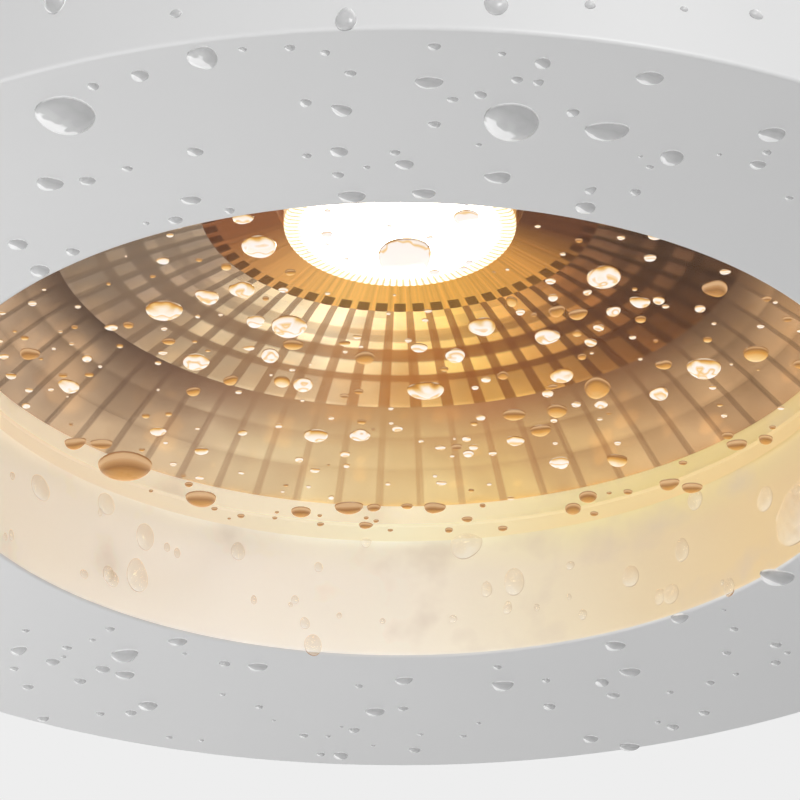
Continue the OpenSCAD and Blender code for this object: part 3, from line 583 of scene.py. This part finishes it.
# %% Bronze metal film: where the point is
square_size = 0.95
film, tree, place = new_finish("bronze_metallised_film")
axes, radius = axes_and_radius(tree, place)
angle = maths(tree, "ARCTAN2", axes["Y"], axes["X"])
side = maths(tree, "DIVIDE", axes["X"], radius)
side = rescale(tree, side, -1.0, 1.0)
column = maths(tree, "MULTIPLY_ADD", angle, COLUMNS / (2 * math.pi), 0.5 + COLUMNS)
across_cell = maths(tree, "FRACT", column)
inner_row = maths(tree, "DIVIDE", radius, facet_r)
inner_row = maths(tree, "LOGARITHM", inner_row, (ridge_r / facet_r) ** (1 / INNER_ROWS))
outer_row = rescale(tree, radius, ridge_r, rim_r, float(INNER_ROWS),
                    float(INNER_ROWS + OUTER_ROWS), clamp=False)
is_outer = maths(tree, "GREATER_THAN", radius, ridge_r)
is_neck = maths(tree, "LESS_THAN", radius, facet_r + square_size)
in_facets = maths(tree, "GREATER_THAN", radius, facet_r)
row = add(tree, "Mix", {"Factor": is_outer, "A": inner_row, "B": outer_row})
cell = add(tree, "CombineXYZ", {"X": maths(tree, "FLOOR", column), "Y": maths(tree, "FLOOR", row)})
luck = add(tree, "TexWhiteNoise", {"Vector": cell}).outputs["Value"]

# %% [markdown]
# Down an inner column, the light falls in rings: dark squares first, 0.95 mm high, then a yellow
# ring, a white one, gold, and so on to the ridge. Outside it the rows get brighter to the rim.

# %% Bronze metal film: how bright it is
zone = rescale(tree, radius, facet_r, ridge_r)
outer_zone = rescale(tree, radius, ridge_r, rim_r)
rings = ramp(tree, zone, [
    (0.0, "FFFFFF"), (0.26, "FCFCFC"), (0.28, "B8B8B8"), (0.38, "B4B4B4"), (0.395, "FCFCFC"),
    (0.45, "F0F0F0"), (0.47, "484848"), (0.57, "5C5C5C"), (0.59, "DCDCDC"), (0.695, "D0D0D0"),
    (0.71, "484848"), (0.76, "484848"), (0.775, "989898"), (0.97, "B0B0B0"), (1.0, "D0D0D0")])
steps = ramp(tree, outer_zone, [
    (0.0, "101010"), (0.05, "484848"), (0.16, "848484"), (0.31, "C0C0C0"), (0.34, "9C9C9C"),
    (0.45, "CCCCCC"), (0.62, "ECECEC"), (0.67, "D0D0D0"), (0.76, "E8E8E8"), (0.95, "FFFFFF"),
    (1.0, "FFFFFF")])
light = blend(tree, is_outer, rings, steps)
from_middle = maths(tree, "SUBTRACT", across_cell, 0.5)
from_middle = maths(tree, "ABSOLUTE", from_middle)
strip_edge = add(tree, "Mix", {"Factor": is_outer, "A": 0.31, "B": 0.4})
past_edge = maths(tree, "SUBTRACT", from_middle, strip_edge)
is_cell = rescale(tree, past_edge, -0.015, 0.03, 1.0, 0.0)
in_strip = add(tree, "Mix", {"Factor": is_outer, "A": 0.2, "B": 0.5})
strip = rescale(tree, is_cell, 0.0, 1.0, in_strip, 1.0)
square = maths(tree, "MULTIPLY", is_cell, in_facets)
square = maths(tree, "MULTIPLY", square, 0.74)
chance = rescale(tree, luck, 0.0, 1.0, 0.7, 1.2)
patches = noise(tree, place, 4.0, 1.0)
patches = rescale(tree, patches, 0.3, 0.7, 0.75, 1.1)
light = maths(tree, "MULTIPLY", light, strip)
light = maths(tree, "MULTIPLY", light, chance)
light = maths(tree, "MULTIPLY", light, patches, clamp=True)

# %% [markdown]
# Each zone has a tone for its bright cells and one for its dark strips, and the neck has one of
# its own, streaked with fine radial lines. All are ramps of painted reflection, from the lamp's
# left side to its right.

# %% Bronze metal film: its tones
inner_bright = ramp(tree, side, [
    (0.02, "94806E"), (0.07, "A48A74"), (0.15, "CEB492"), (0.25, "ECD6B2"), (0.37, "FAE6C2"),
    (0.5, "F0D092"), (0.63, "F0C470"), (0.75, "D49C56"), (0.88, "946036"), (0.98, "644430")])
inner_dark = ramp(tree, side, [
    (0.02, "685648"), (0.22, "7A5C44"), (0.36, "926A48"), (0.5, "98602E"), (0.62, "824C24"),
    (0.8, "5A3622"), (0.98, "3A2416")])
outer_bright = ramp(tree, side, [
    (0.07, "BA9C81"), (0.15, "B6987A"), (0.25, "C0A687"), (0.37, "C9B28C"), (0.5, "C9AE80"),
    (0.63, "C6A670"), (0.75, "C6A172"), (0.85, "C09971"), (0.93, "B9916B")])
outer_dark = ramp(tree, side, [
    (0.07, "4E3A2E"), (0.15, "5E4436"), (0.25, "7E5C46"), (0.37, "9E7856"), (0.5, "A47A4E"),
    (0.63, "9A6844"), (0.75, "80583A"), (0.85, "704C34"), (0.93, "5A402E")])
neck_tone = ramp(tree, side, [
    (0.02, "78482A"), (0.15, "BC8850"), (0.36, "D4A058"), (0.5, "CC964A"), (0.66, "C69044"),
    (0.88, "B67E3E"), (0.98, "54301C")])
# Painted reflection: fine radial streaks across the neck, from a noise that follows the angle.
reflected_streaks = add(tree, "TexNoise", {"Vector": add(tree, "CombineXYZ", {"X": angle}),
                                   "Scale": 36.0, "Detail": 2.0})
reflected_streaks = rescale(tree, reflected_streaks, 0.35, 0.65, 0.84, 1.14)
neck_tone = add(tree, "VectorMath", {0: neck_tone, "Scale": reflected_streaks}, operation="SCALE")
neck_tone = blend(tree, square, neck_tone, "3A1C0C")
bright_tone = blend(tree, is_outer, inner_bright, outer_bright)
dark_tone = blend(tree, is_outer, inner_dark, outer_dark)
tone = blend(tree, light, dark_tone, bright_tone)
tone = blend(tree, is_neck, tone, neck_tone)
metal = add(tree, "BsdfPrincipled", {"Base Color": tone, "Metallic": 1.0, "Roughness": 0.18,
                                     "Emission Color": tone, "Emission Strength": 0.76})
add(tree, "OutputMaterial", {"Surface": metal})
reflector = make_piece("faceted_reflector", around(dish_r[:, None], dish_z, dish_turn[None, :]),
                       grid_faces(len(dish_r), len(dish_turn), True).tolist(), "light_head",
                       film)
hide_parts("reflector")

# %% [markdown]
# The light disc is an opal diffuser over the LED, moulded with about a hundred fine radial ribs
# round its rim, 0.5 mm apart. They could be a pattern in the light alone, but as real ribs they
# also catch what shines on them. The rim glows less than the middle, and the grooves between the
# ribs are amber. It lights the recess.

# %% Light disc
RIBS = 100
disc_low, disc_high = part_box("light_disc")
disc_r = 8.6
rib_start = 6.2
rib_height = 0.05
front_only = 0.28
middle_power, rim_power, groove_power, side_power = 20.0, 1.3, 0.65, 0.6
disc_depth = (disc_low.z - face_z) / MM
disc_thick = (disc_high.z - disc_low.z) / MM
disc_flange_r = disc_high.x / MM
disc_flange_t = 2.1
disc_profile = np.array([
    (2.0, 0.0), (4.0, 0.0), (rib_start, 0.0), (6.8, 0.0), (7.4, 0.0), (8.0, 0.0),
    (disc_r - 0.3, 0.0), (disc_r - 0.08, 0.1), (disc_r, 0.3),
    (disc_r, disc_thick - disc_flange_t), (disc_flange_r, disc_thick - disc_flange_t),
    (disc_flange_r, disc_thick)])
disc_turn = np.arange(RIBS * 4) / (RIBS * 4) * 2 * np.pi
ribbed = np.clip((disc_profile[:, 0] - rib_start) / 1.2, 0, 1) * (disc_profile[:, 1] < 0.2)
disc_z = disc_depth + disc_profile[:, 1:] + rib_height * np.outer(
    ribbed, 0.5 - 0.5 * np.cos(disc_turn * RIBS))

diffuser, tree, place = new_finish("lit_opal_diffuser")
axes, radius = axes_and_radius(tree, place)
angle = maths(tree, "ARCTAN2", axes["Y"], axes["X"])
wave = maths(tree, "MULTIPLY", angle, float(RIBS))
wave = maths(tree, "COSINE", wave)
groove = rescale(tree, wave, -0.7, -0.3, 1.0, 0.0)
edge = rescale(tree, radius, rib_start, rib_start + 1.4)
front = maths(tree, "LESS_THAN", axes["Z"], face_z / MM + disc_depth + front_only)
shade = maths(tree, "MULTIPLY", groove, edge)
power = rescale(tree, edge, 0.0, 1.0, middle_power, rim_power)
power = add(tree, "Mix", {"Factor": shade, "A": power, "B": groove_power})
power = add(tree, "Mix", {"Factor": front, "A": side_power, "B": power})
amber = maths(tree, "SUBTRACT", 1.0, front)
amber = maths(tree, "MAXIMUM", amber, shade)
glow = blend(tree, amber, "FFF1D2", "DC9A46")
opal = add(tree, "BsdfPrincipled", {"Base Color": "F0E6D2", "Roughness": 0.4,
                                    "Emission Color": glow, "Emission Strength": power})
add(tree, "OutputMaterial", {"Surface": opal})
paint(film, "reflector")
paint(diffuser, "light_disc")
light_disc = make_piece(
    "ribbed_light_disc", around(disc_profile[:, :1], disc_z, disc_turn[None, :]),
    capped_faces(len(disc_profile), len(disc_turn)), "light_head", diffuser)
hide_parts("light_disc")

# %% [markdown]
# Rain drops are domes of water. Metaballs or a particle system could make them, but arrays put
# each drop where it should be, with few faces. A drop's outline is a circle with a few soft lobes
# and, on some, a pointed tail, and its height follows a quarter of an ellipse from the rim to the
# top. All drops of one size class are worked out together as one array: drop by ring by segment.

# %% Shapes of the drops
rng = np.random.default_rng(11)
SUNK = 0.08
TOP_ANGLE = 82
# The rings and segments of a large and of a small drop.
LARGE = (8, 24)
SMALL = (5, 12)


def dome_points(centres, frames, half_u, half_v, height, tail, tail_angle, rings, segments):
    """Points of the drops in millimetres. On each ring the radius is the outline times the
    cosine of the ring's angle, and the height is the drop's height times the sine of it. The
    outline is one, plus lobes of two and three waves, plus a tail along one direction."""
    count = len(centres)
    turn = np.arange(segments) / segments * 2 * np.pi
    lift = np.radians(np.linspace(0, TOP_ANGLE, rings - 1))
    spread = np.concatenate([[1.0], np.cos(lift)])
    rise = np.concatenate([[0.0], np.sin(lift)])
    phase = rng.uniform(0, 2 * np.pi, (2, count, 1))
    lobes = rng.uniform(0.0, 0.07, (count, 1))
    outline = 1 + lobes * (np.cos(2 * turn + phase[0]) + 0.5 * np.cos(3 * turn + phase[1]))
    outline += tail[:, None] * np.maximum(0, np.cos(turn - tail_angle[:, None])) ** 5
    u = np.einsum("n,nm,k->nkm", half_u, outline * np.cos(turn), spread)
    v = np.einsum("n,nm,k->nkm", half_v, outline * np.sin(turn), spread)
    w = (height[:, None] * rise - SUNK * (np.arange(rings) == 0))[:, :, None] + 0 * u
    local = np.stack([u, v, w], -1)
    return centres[:, None, None] + np.einsum("nkma,nab->nkmb", local, frames)


def slight_shift(x, y):
    """How the tones of drops at x, y differ from one to the next: a little, by chance."""
    return rng.uniform(-0.03, 0.03, len(x))


def make_drops(name, groups, material, shift_at=slight_shift):
    """One mesh of several arrays of drops: one capped tube of rings for each drop, numbered
    on. The attribute rise is 0 where a drop meets its surface and 1 at its top, and the
    attribute shift says how a drop's tones differ from the next one's."""
    points, faces, rise, shift, first = [], [], [], [], 0
    for group in groups:
        count, rings, segments, _ = group.shape
        own = shift_at(group[:, 0, :, 0].mean(1), group[:, 0, :, 1].mean(1))
        shift.append(np.repeat(own, rings * segments))
        one = capped_faces(rings, segments)
        for number in range(count):
            faces += [[corner + first + number * rings * segments for corner in face]
                      for face in one]
        points.append(group.reshape(-1, 3) * MM)
        ring = np.clip((np.arange(rings) - 1) / (rings - 2), 0, 1)
        rise.append(np.tile(np.repeat(ring, segments), count))
        first += count * rings * segments
    piece = make_piece(name, np.concatenate(points), faces, "light_head", material,
                       crease=math.radians(80))
    for label, values in (("rise", rise), ("shift", shift)):
        data = piece.data.attributes.new(label, "FLOAT", "POINT").data
        data.foreach_set("value", np.concatenate(values).astype(np.float32))


def tails(count, share, size):
    """Sizes of tails: a share of the drops has one, up to a size, and the others have none."""
    return np.where(rng.uniform(size=count) < share, rng.uniform(0.3, 1.0, count) * size, 0.0)


# %% [markdown]
# The drops that the picture shows large could be moved about until they fit. It is surer to start
# from the picture: their lists give the middle, width and height of each in pixels, and each is
# placed where a sight line from the camera meets the surface that carries it. The rest are
# scattered by a seeded chance, smaller and apart from each other.

# %% Sight lines


def sight_lines(pixels):
    """Directions from the camera through picture points: forward by the focal length, right
    and up by the distance from the middle of the picture."""
    x, y = pixels[:, 0] - PICTURE / 2, PICTURE / 2 - pixels[:, 1]
    return forward * focal + x[:, None] * rightward + y[:, None] * upward


def meet_level(pixels, depth):
    """Points in millimetres where sight lines meet the level plane at a depth."""
    lines = sight_lines(pixels)
    reach = (face_z + depth * MM - eye[2]) / lines[:, 2]
    return (eye + lines * reach[:, None]) / MM


def meet_round(pixels, radius, far):
    """Points in millimetres where sight lines meet an upright cylinder round the lamp: the
    farther or nearer root of the quadratic for the distance along the line."""
    lines = sight_lines(pixels)
    a = (lines[:, :2] ** 2).sum(1)
    b = lines[:, :2] @ eye[:2]
    c = eye[:2] @ eye[:2] - (radius * MM) ** 2
    root = np.sqrt(np.maximum(0, b * b - a * c)) * (1 if far else -1)
    return (eye + lines * ((root - b) / a)[:, None]) / MM


def pixel_size(points):
    """Millimetres per picture pixel at points: their distance ahead over the focal length."""
    return (points * MM - eye) @ forward / focal / MM


# %% [markdown]
# Under a level surface a drop hangs down, and the camera sees its outline foreshortened with its
# belly below it. A drop's belly is a bit over a quarter of its width, so the picture's height of
# the drop gives how long its outline is from front to back. A tail makes the drop longer, so the
# rest of a drop with a tail is made a little shorter. Drops wider than 24 pixels have less tail.

# %% Hanging drops
BELLY = 0.27
FLATTEST = 0.42
TAIL_SHARE = 0.4
FULL_TAIL = 24
HANGING = np.array([[1.0, 0, 0], [0, -1.0, 0], [0, 0, -1.0]])
TAIL_TURNS = np.radians([0, 45, 90, 135, 180])


def hanging(drops, depth, rings, segments):
    """Drops of a list of (x, y, width, height) in pixels under a level plane. With the belly
    b seen from below at an angle, and the outline's half length s as it is seen, the height is
    s plus the root of s squared and b squared, which gives s. Also returns places and sizes."""
    drops = np.array(drops, float)
    width, height = drops[:, 2], np.maximum(drops[:, 3], FLATTEST * drops[:, 2])
    belly = BELLY * math.cos(axis_elevation) * width
    half_seen = (height ** 2 - belly ** 2) / (2 * height)
    middle = np.stack([drops[:, 0], drops[:, 1] - height / 2 + half_seen], -1)
    centres = meet_level(middle, depth)
    scale = pixel_size(centres)
    half = width / 2 * scale
    tail = tails(len(drops), 0.55, 0.6) * np.minimum(1, FULL_TAIL / width)
    tail_turn = rng.choice(TAIL_TURNS, len(drops))
    half_u = half * (1 - TAIL_SHARE * tail * np.abs(np.cos(tail_turn)))
    half_v = half_seen * scale / math.sin(axis_elevation)
    half_v = half_v * (1 - TAIL_SHARE * tail * np.sin(tail_turn))
    shapes = dome_points(centres, np.tile(HANGING, (len(drops), 1, 1)), half_u, half_v,
                         width * scale * BELLY, tail, tail_turn, rings, segments)
    return shapes, centres[:, :2], half


def scattered(count, places, half, typical, gap):
    """Half widths and numbers of up to count of the places that stay at least gap from those
    already taken and from each other. Sizes spread round the typical one as rain's do."""
    sizes = rng.lognormal(np.log(typical / 2), 0.4, len(places))
    kept = []
    for number, size in enumerate(sizes):
        apart = np.hypot(*(half[0] - places[number]).T) - half[1] - size
        if len(kept) < count and apart.min() > gap:
            kept.append(number)
            half = (np.vstack([half[0], places[number]]), np.append(half[1], size))
    return np.array(kept), sizes[kept]


def small_hanging(count, inner, outer, depth, taken, typical, gap):
    """Small drops under a level ring, even over its area."""
    r = np.sqrt(rng.uniform(inner ** 2, outer ** 2, count * 4))
    a = rng.uniform(0, 2 * np.pi, count * 4)
    places = np.stack([r * np.cos(a), r * np.sin(a)], -1)
    kept, half = scattered(count, places, taken, typical, gap)
    centres = np.column_stack([places[kept], np.full(len(kept), face_z / MM + depth)])
    return dome_points(centres, np.tile(HANGING, (len(kept), 1, 1)), half,
                       half * rng.uniform(0.8, 1.15, len(kept)), half * 2 * BELLY,
                       tails(len(kept), 0.3, 0.5), rng.choice([0.0, np.pi], len(kept)), *SMALL)


# %% [markdown]
# Water bends light like a lens. A drop under the face gathers light on its lower left, where it
# shows a white crescent, and the rest looks a little darker than the paint. On the glass a drop
# gathers the light disc, so it is bright, with a golden top. Clear water alone could show that if
# the whole street stood round the lamp, and with many more rays. Here the gathered light follows
# the way the surface of the water faces, and the rest is clear water with its real index of 1.33.

# %% Water
RIPPLE = 0.8


def water(name, gather, stops, rim_stops, cover, base, strength, waver):
    """Water that shows tones of gathered light. gather is the direction of the bright side.
    stops are the tones, and rim_stops those of the thin rim, from the side away from it on.
    cover is how much of them shows, base is how much they take the room's light, strength is
    how much they glow, and waver is how much the tones wander."""
    material, tree, place = new_finish(name)
    normal = add(tree, "NewGeometry").outputs["Normal"]
    toward = add(tree, "VectorMath", {0: normal, 1: tuple(gather)}, operation="DOT_PRODUCT")
    ripple = noise(tree, place, RIPPLE, 0.0)
    ripple = rescale(tree, ripple, 0.32, 0.6, -waver, waver / 4)
    shift = add(tree, "Attribute", attribute_name="shift").outputs["Fac"]
    calm = rescale(tree, shift, -0.4, -0.1)
    ripple = maths(tree, "MULTIPLY", ripple, calm)
    toward = maths(tree, "ADD", toward.outputs["Value"], ripple)
    around_rim = rescale(tree, toward, -1.0, 1.0)
    toward = rescale(tree, toward, -1.0, 1.0, clamp=False)
    toward = maths(tree, "ADD", toward, shift, clamp=True)
    rise = add(tree, "Attribute", attribute_name="rise").outputs["Fac"]
    rim = rescale(tree, rise, 0.02, 0.12, 1.0, 0.0)
    tone = blend(tree, rim, ramp(tree, toward, stops), ramp(tree, around_rim, rim_stops))
    lit = blend(tree, base, "000000", tone)
    gathered = add(tree, "BsdfPrincipled", {
        "Base Color": lit, "Roughness": 0.12, "IOR": 1.33, "Emission Color": tone,
        "Emission Strength": strength})
    clear = add(tree, "BsdfGlass", {"Color": "FFFFFF", "Roughness": 0.0, "IOR": 1.33})
    cover = add(tree, "Mix", {"Factor": rim, "A": cover, "B": 0.85})
    seen = add(tree, "MixShader", {0: cover, 1: clear, 2: gathered})
    through = add(tree, "BsdfTransparent", {"Color": "FFFFFF"})
    surface = add(tree, "MixShader", {0: is_ray(tree, PASSING_RAYS), 1: seen, 2: through})
    add(tree, "OutputMaterial", {"Surface": surface})
    return material


water_on_paint = water("water_on_paint", (-0.55, 0.57, -0.6), [
    (0.0, "D8D8D8"), (0.1, "A8A8A8"), (0.45, "949494"), (0.66, "A0A0A0"), (0.77, "B0B0B0"),
    (0.8, "ECECEC"), (0.92, "E4E4E4"), (1.0, "FFFFFF")],
    [(0.0, "FFFFFF"), (0.4, "E8E8E8"), (0.6, "808080"), (1.0, "787878")],
    cover=0.6, base=1.0, strength=0.3, waver=0.1)
water_on_glass = water("water_on_glass", (0.0, 0.4, -0.92), [
    (0.0, "C8A884"), (0.08, "B48C64"), (0.2, "7C5230"), (0.38, "D09440"), (0.50, "ECC884"),
    (0.66, "FFF6E8"), (0.82, "FFFFFF"), (0.92, "F0C880"), (1.0, "FFFFFF")],
    [(0.0, "FFF4DC"), (0.4, "7A4A24"), (1.0, "B07C40")],
    cover=0.62, base=0.05, strength=1.3, waver=0.36)
water_on_wall = water("water_on_wall", (-0.2, -0.5, -0.84), [
    (0.0, "CCA67C"), (0.3, "DEBE96"), (0.6, "ECD6B6"), (0.8, "F8EAD2"), (1.0, "FFF8EC")],
    [(0.0, "9C7448"), (1.0, "B89068")], cover=0.4, base=0.3, strength=0.68, waver=0.3)

# %% [markdown]
# Under the face the paint carries about fifty large drops, most of them near the front, and three
# times as many small ones. On a satin coat water stays in flat, wide drops.

# %% Drops under the face
face_drops = [
    (66, 117, 62, 36), (512, 123, 58, 36), (607, 132, 44, 18), (205, 58, 30, 22),
    (48, 184, 26, 14), (672, 158, 24, 15), (650, 79, 28, 13), (428, 83, 28, 12),
    (772, 135, 28, 14), (140, 76, 18, 11), (343, 111, 22, 12), (305, 103, 12, 8),
    (339, 152, 18, 10), (500, 178, 28, 11), (757, 165, 16, 9), (424, 194, 24, 10),
    (352, 197, 28, 12), (590, 191, 12, 8), (573, 113, 13, 8), (538, 83, 12, 7), (517, 80, 12, 7),
    (480, 95, 13, 8), (195, 152, 16, 9), (326, 53, 10, 6), (124, 656, 30, 14), (125, 675, 20, 9),
    (18, 651, 18, 10), (148, 706, 20, 10), (258, 667, 20, 9), (178, 642, 20, 8),
    (225, 664, 12, 6), (130, 713, 12, 7), (43, 719, 13, 6), (28, 687, 12, 6), (502, 686, 24, 11),
    (403, 681, 20, 8), (375, 712, 20, 9), (590, 739, 16, 8), (415, 750, 12, 6),
    (614, 646, 20, 11), (632, 672, 22, 9), (602, 683, 14, 9), (679, 619, 19, 10),
    (778, 578, 36, 17), (673, 727, 12, 7), (776, 645, 12, 6), (776, 663, 10, 6),
    (727, 653, 10, 5), (628, 747, 20, 9), (40, 271, 20, 12), (72, 252, 14, 8)]
large, taken, taken_half = hanging(face_drops, -skin_out, *LARGE)
small = small_hanging(150, opening_r + 1.0, can_r - 1.0, -skin_out, (taken, taken_half),
                      typical=0.62, gap=0.5)
make_drops("water_on_face", (large, small), water_on_paint)

# %% [markdown]
# On the glass the drops stand closer. What each gathers depends on what is above it: most take the
# white of the light disc, and those at the far side, where the recess wall is behind them, show
# the dark dish turned upside down. One material does for all, and an attribute shifts its tones.

# %% Drops under the glass
glass_drops = [
    (404, 259, 55, 40), (259, 247, 34, 22), (604, 278, 34, 22), (426, 391, 36, 18),
    (163, 311, 36, 20), (288, 327, 36, 22), (196, 363, 28, 16), (270, 356, 18, 14),
    (303, 385, 20, 14), (282, 382, 16, 11), (230, 381, 15, 10), (193, 392, 15, 9),
    (316, 436, 24, 13), (360, 436, 20, 12), (365, 358, 20, 13), (70, 387, 22, 14),
    (28, 354, 20, 12), (244, 290, 26, 16), (209, 298, 26, 14), (255, 322, 20, 12),
    (293, 345, 20, 10), (125, 467, 54, 30), (201, 499, 30, 17), (74, 444, 24, 12),
    (103, 444, 22, 10), (301, 512, 20, 11), (349, 508, 28, 13), (87, 359, 10, 7),
    (512, 302, 12, 10), (553, 298, 10, 7), (587, 293, 9, 6), (613, 312, 15, 10),
    (641, 303, 22, 11), (659, 301, 12, 8), (717, 289, 26, 16), (700, 309, 11, 7),
    (556, 312, 17, 12), (577, 315, 20, 11), (545, 337, 26, 15), (484, 327, 28, 18),
    (456, 356, 20, 14), (562, 376, 24, 14), (596, 388, 26, 22), (503, 376, 12, 8),
    (599, 328, 11, 7), (591, 343, 13, 8), (577, 334, 10, 6), (582, 357, 9, 6),
    (756, 354, 26, 16), (704, 369, 36, 20), (665, 365, 17, 9), (660, 394, 18, 14),
    (556, 411, 20, 14), (514, 415, 24, 11), (540, 431, 22, 12), (514, 441, 18, 10),
    (561, 463, 20, 12), (618, 461, 22, 13), (419, 348, 17, 9), (601, 405, 14, 8),
    (668, 485, 22, 12), (691, 488, 20, 11), (737, 445, 20, 11), (588, 497, 18, 12),
    (573, 509, 16, 12), (433, 508, 22, 11), (766, 440, 15, 10), (466, 218, 26, 15)]


# Where on the glass the picture shows the lit disc behind it, and where the recess wall.
disc_seen_y = -15.5
wall_seen_r, wall_seen_y = 28, 14


def shift_on_glass(x, y):
    """Most drops on the glass gather white light, some gold and some little at all. Those that
    stand before the lit disc are whiter, and those before the recess wall hold the dark dish."""
    white, gold, little, dark_dish, whiter = 0.0, -0.44, -0.6, -0.64, 0.42
    own = rng.choice([white, gold, little], len(x), p=[0.66, 0.2, 0.14])
    own = own + rng.uniform(-0.1, 0.1, len(x))
    before_wall = (np.hypot(x, y) > wall_seen_r) & (y > wall_seen_y)
    before_disc = np.hypot(x, y - disc_seen_y) < disc_r + 0.5
    return np.select([before_wall, before_disc], [dark_dish, whiter], own)


large, taken, taken_half = hanging(glass_drops, glass_depth, *LARGE)
small = small_hanging(270, 1.0, glass_r - 1.0, glass_depth, (taken, taken_half),
                      typical=0.5, gap=0.3)
make_drops("water_on_glass", (large, small), water_on_glass, shift_on_glass)

# %% [markdown]
# On an upright wall a drop is taller than wide, fat at its foot and drawn out to a point at its
# top, because it has run down. The same domes do for the recess and for the outside of the can.

# %% Drops on the walls
WALL_BELLY = 0.3


def upright_frames(places, outward):
    """Axes of drops on a wall round the lamp: level along the wall, up, and away from it."""
    away = places[:, :2] / np.hypot(*places[:, :2].T)[:, None] * (1 if outward else -1)
    level = np.stack([-away[:, 1], away[:, 0], 0 * away[:, 0]], -1)
    up = np.tile([0.0, 0.0, 1.0], (len(places), 1))
    return np.stack([level, up, np.column_stack([away, 0 * away[:, 0]])], 1)


def clinging(drops, radius, outward, rings, segments):
    """Drops of a list of (x, y, width, height) in pixels on an upright wall."""
    drops = np.array(drops, float)
    centres = meet_round(drops[:, :2], radius, not outward)
    scale = pixel_size(centres)
    slant = np.maximum(0.5, np.abs(centres[:, 1]) / radius)
    half_u = drops[:, 2] / 2 * scale / slant
    half_v = drops[:, 3] / 2 * scale / math.cos(axis_elevation)
    return dome_points(centres, upright_frames(centres, outward), half_u, half_v,
                       drops[:, 2] * scale * WALL_BELLY, tails(len(drops), 0.7, 0.3),
                       np.full(len(drops), np.pi / 2), rings, segments)


def small_clinging(count, radius, low, high, outward, typical):
    """Small drops on an upright wall between two depths."""
    turn = rng.uniform(0, 2 * np.pi, count)
    depth = rng.uniform(low, high, count)
    half = rng.lognormal(np.log(typical / 2), 0.45, count)
    centres = around(radius, depth, turn) / MM
    return dome_points(centres, upright_frames(centres, outward), half,
                       half * rng.uniform(1.1, 1.5, count), half * 2 * WALL_BELLY,
                       tails(count, 0.5, 0.5), np.full(count, np.pi / 2), *SMALL)


recess_drops = [
    (466, 543, 31, 32), (514, 582, 21, 26), (137, 577, 20, 30), (800, 515, 40, 56),
    (145, 537, 17, 26), (40, 488, 16, 24), (106, 504, 16, 20), (238, 552, 14, 16),
    (313, 645, 18, 20), (682, 551, 14, 20), (671, 594, 15, 19), (729, 588, 10, 16),
    (765, 500, 14, 22), (366, 540, 12, 14), (295, 600, 8, 8), (453, 619, 8, 8), (508, 605, 7, 7),
    (112, 579, 12, 16), (695, 500, 14, 20), (84, 574, 8, 8)]
side_drops = [
    (496, 5, 26, 20), (756, 15, 14, 9), (590, 5, 12, 8), (176, 14, 12, 8), (346, 20, 22, 22),
    (684, 9, 8, 5)]
recess_wall_r = opening_r - skin_out
make_drops("water_in_recess", (
    clinging(recess_drops, recess_wall_r, False, *LARGE),
    small_clinging(50, recess_wall_r, 1.0, glass_depth - 1.0, outward=False, typical=0.6)),
    water_on_wall)
make_drops("water_on_side", (
    clinging(side_drops, can_r + skin_out, True, *LARGE),
    small_clinging(260, can_r + skin_out, 3.0, can_h - 2.0, outward=True, typical=1.0)),
    water_on_paint)

# %% [markdown]
# The stage is a pale floor well below the lamp and a white world. A white world alone would light
# the can flatly and too much, so floor and world look pale to the camera and in what glass and
# metal mirror, and they are softer in the light that they give. Four soft boxes light the can:
# one below it at the left, one at its right side, and two behind it.

# %% Stage and light
floor_drop, floor_half = 1.2, 4.0
near_floor, far_floor = 1400, 3200
corners = np.array([[-1, -1, 0], [1, -1, 0], [1, 1, 0], [-1, 1, 0]]) * floor_half
floor_mesh = bpy.data.meshes.new("floor")
floor_mesh.from_pydata((corners - [0, 0, floor_drop]).tolist(), [], [[0, 1, 2, 3]])
floor = bpy.data.objects.new("floor", floor_mesh)
bpy.context.scene.collection.objects.link(floor)

pale, tree, place = new_finish("pale_floor")
grey = noise(tree, place, 40.0, 3.0)
grey = blend(tree, grey, "E4E4E4", "E8E8E8")
away = add(tree, "VectorMath", {0: place}, operation="LENGTH").outputs["Value"]
extra = rescale(tree, away, near_floor, far_floor, 0.5, 0.9)
extra = maths(tree, "MULTIPLY", is_ray(tree, BACKGROUND_RAYS), extra)
matt = add(tree, "BsdfPrincipled", {"Base Color": grey, "Roughness": 0.9,
                                    "Emission Color": grey, "Emission Strength": extra})
add(tree, "OutputMaterial", {"Surface": matt})
floor_mesh.materials.append(pale)

world = bpy.data.worlds.new("studio")
bpy.context.scene.world = world
world.use_nodes = True
tree = world.node_tree
tree.nodes.clear()
soft = add(tree, "Background", {"Color": "FFFFFF", "Strength": 0.165})
white = add(tree, "Background", {"Color": "EEEEEE", "Strength": 1.0})
surround = add(tree, "MixShader", {0: is_ray(tree, BACKGROUND_RAYS), 1: soft, 2: white})
add(tree, "OutputWorld", {"Surface": surround})


def soft_box(name, place, aim, size, watts):
    """A square soft light at a place, turned to face a point."""
    data = bpy.data.lights.new(name, "AREA")
    data.size = size
    data.energy = watts
    lamp = bpy.data.objects.new(name, data)
    bpy.context.scene.collection.objects.link(lamp)
    away = np.array(place) - np.array(aim)
    lamp.location = place
    lamp.rotation_euler = (math.atan2(math.hypot(away[0], away[1]), away[2]), 0.0,
                           math.atan2(away[0], -away[1]))
    lamp.visible_camera = False
    return lamp


left_light = soft_box("left_light", (-0.13, -0.02, -0.22), (-0.02, 0, face_z), 0.25, 0.363)
left_light.visible_glossy = left_light.visible_transmission = False
soft_box("side_light", (0.6, -1.13, 0.1), (0, 0, -0.05), 0.5, 12.7)
soft_box("right_back_light", (0.55, 0.35, 0.15), (0, 0, -0.05), 0.35, 2.6)
soft_box("left_back_light", (-0.55, 0.35, 0.15), (0, 0, -0.05), 0.35, 2.6)
bpy.context.scene.view_settings.view_transform = "Standard"
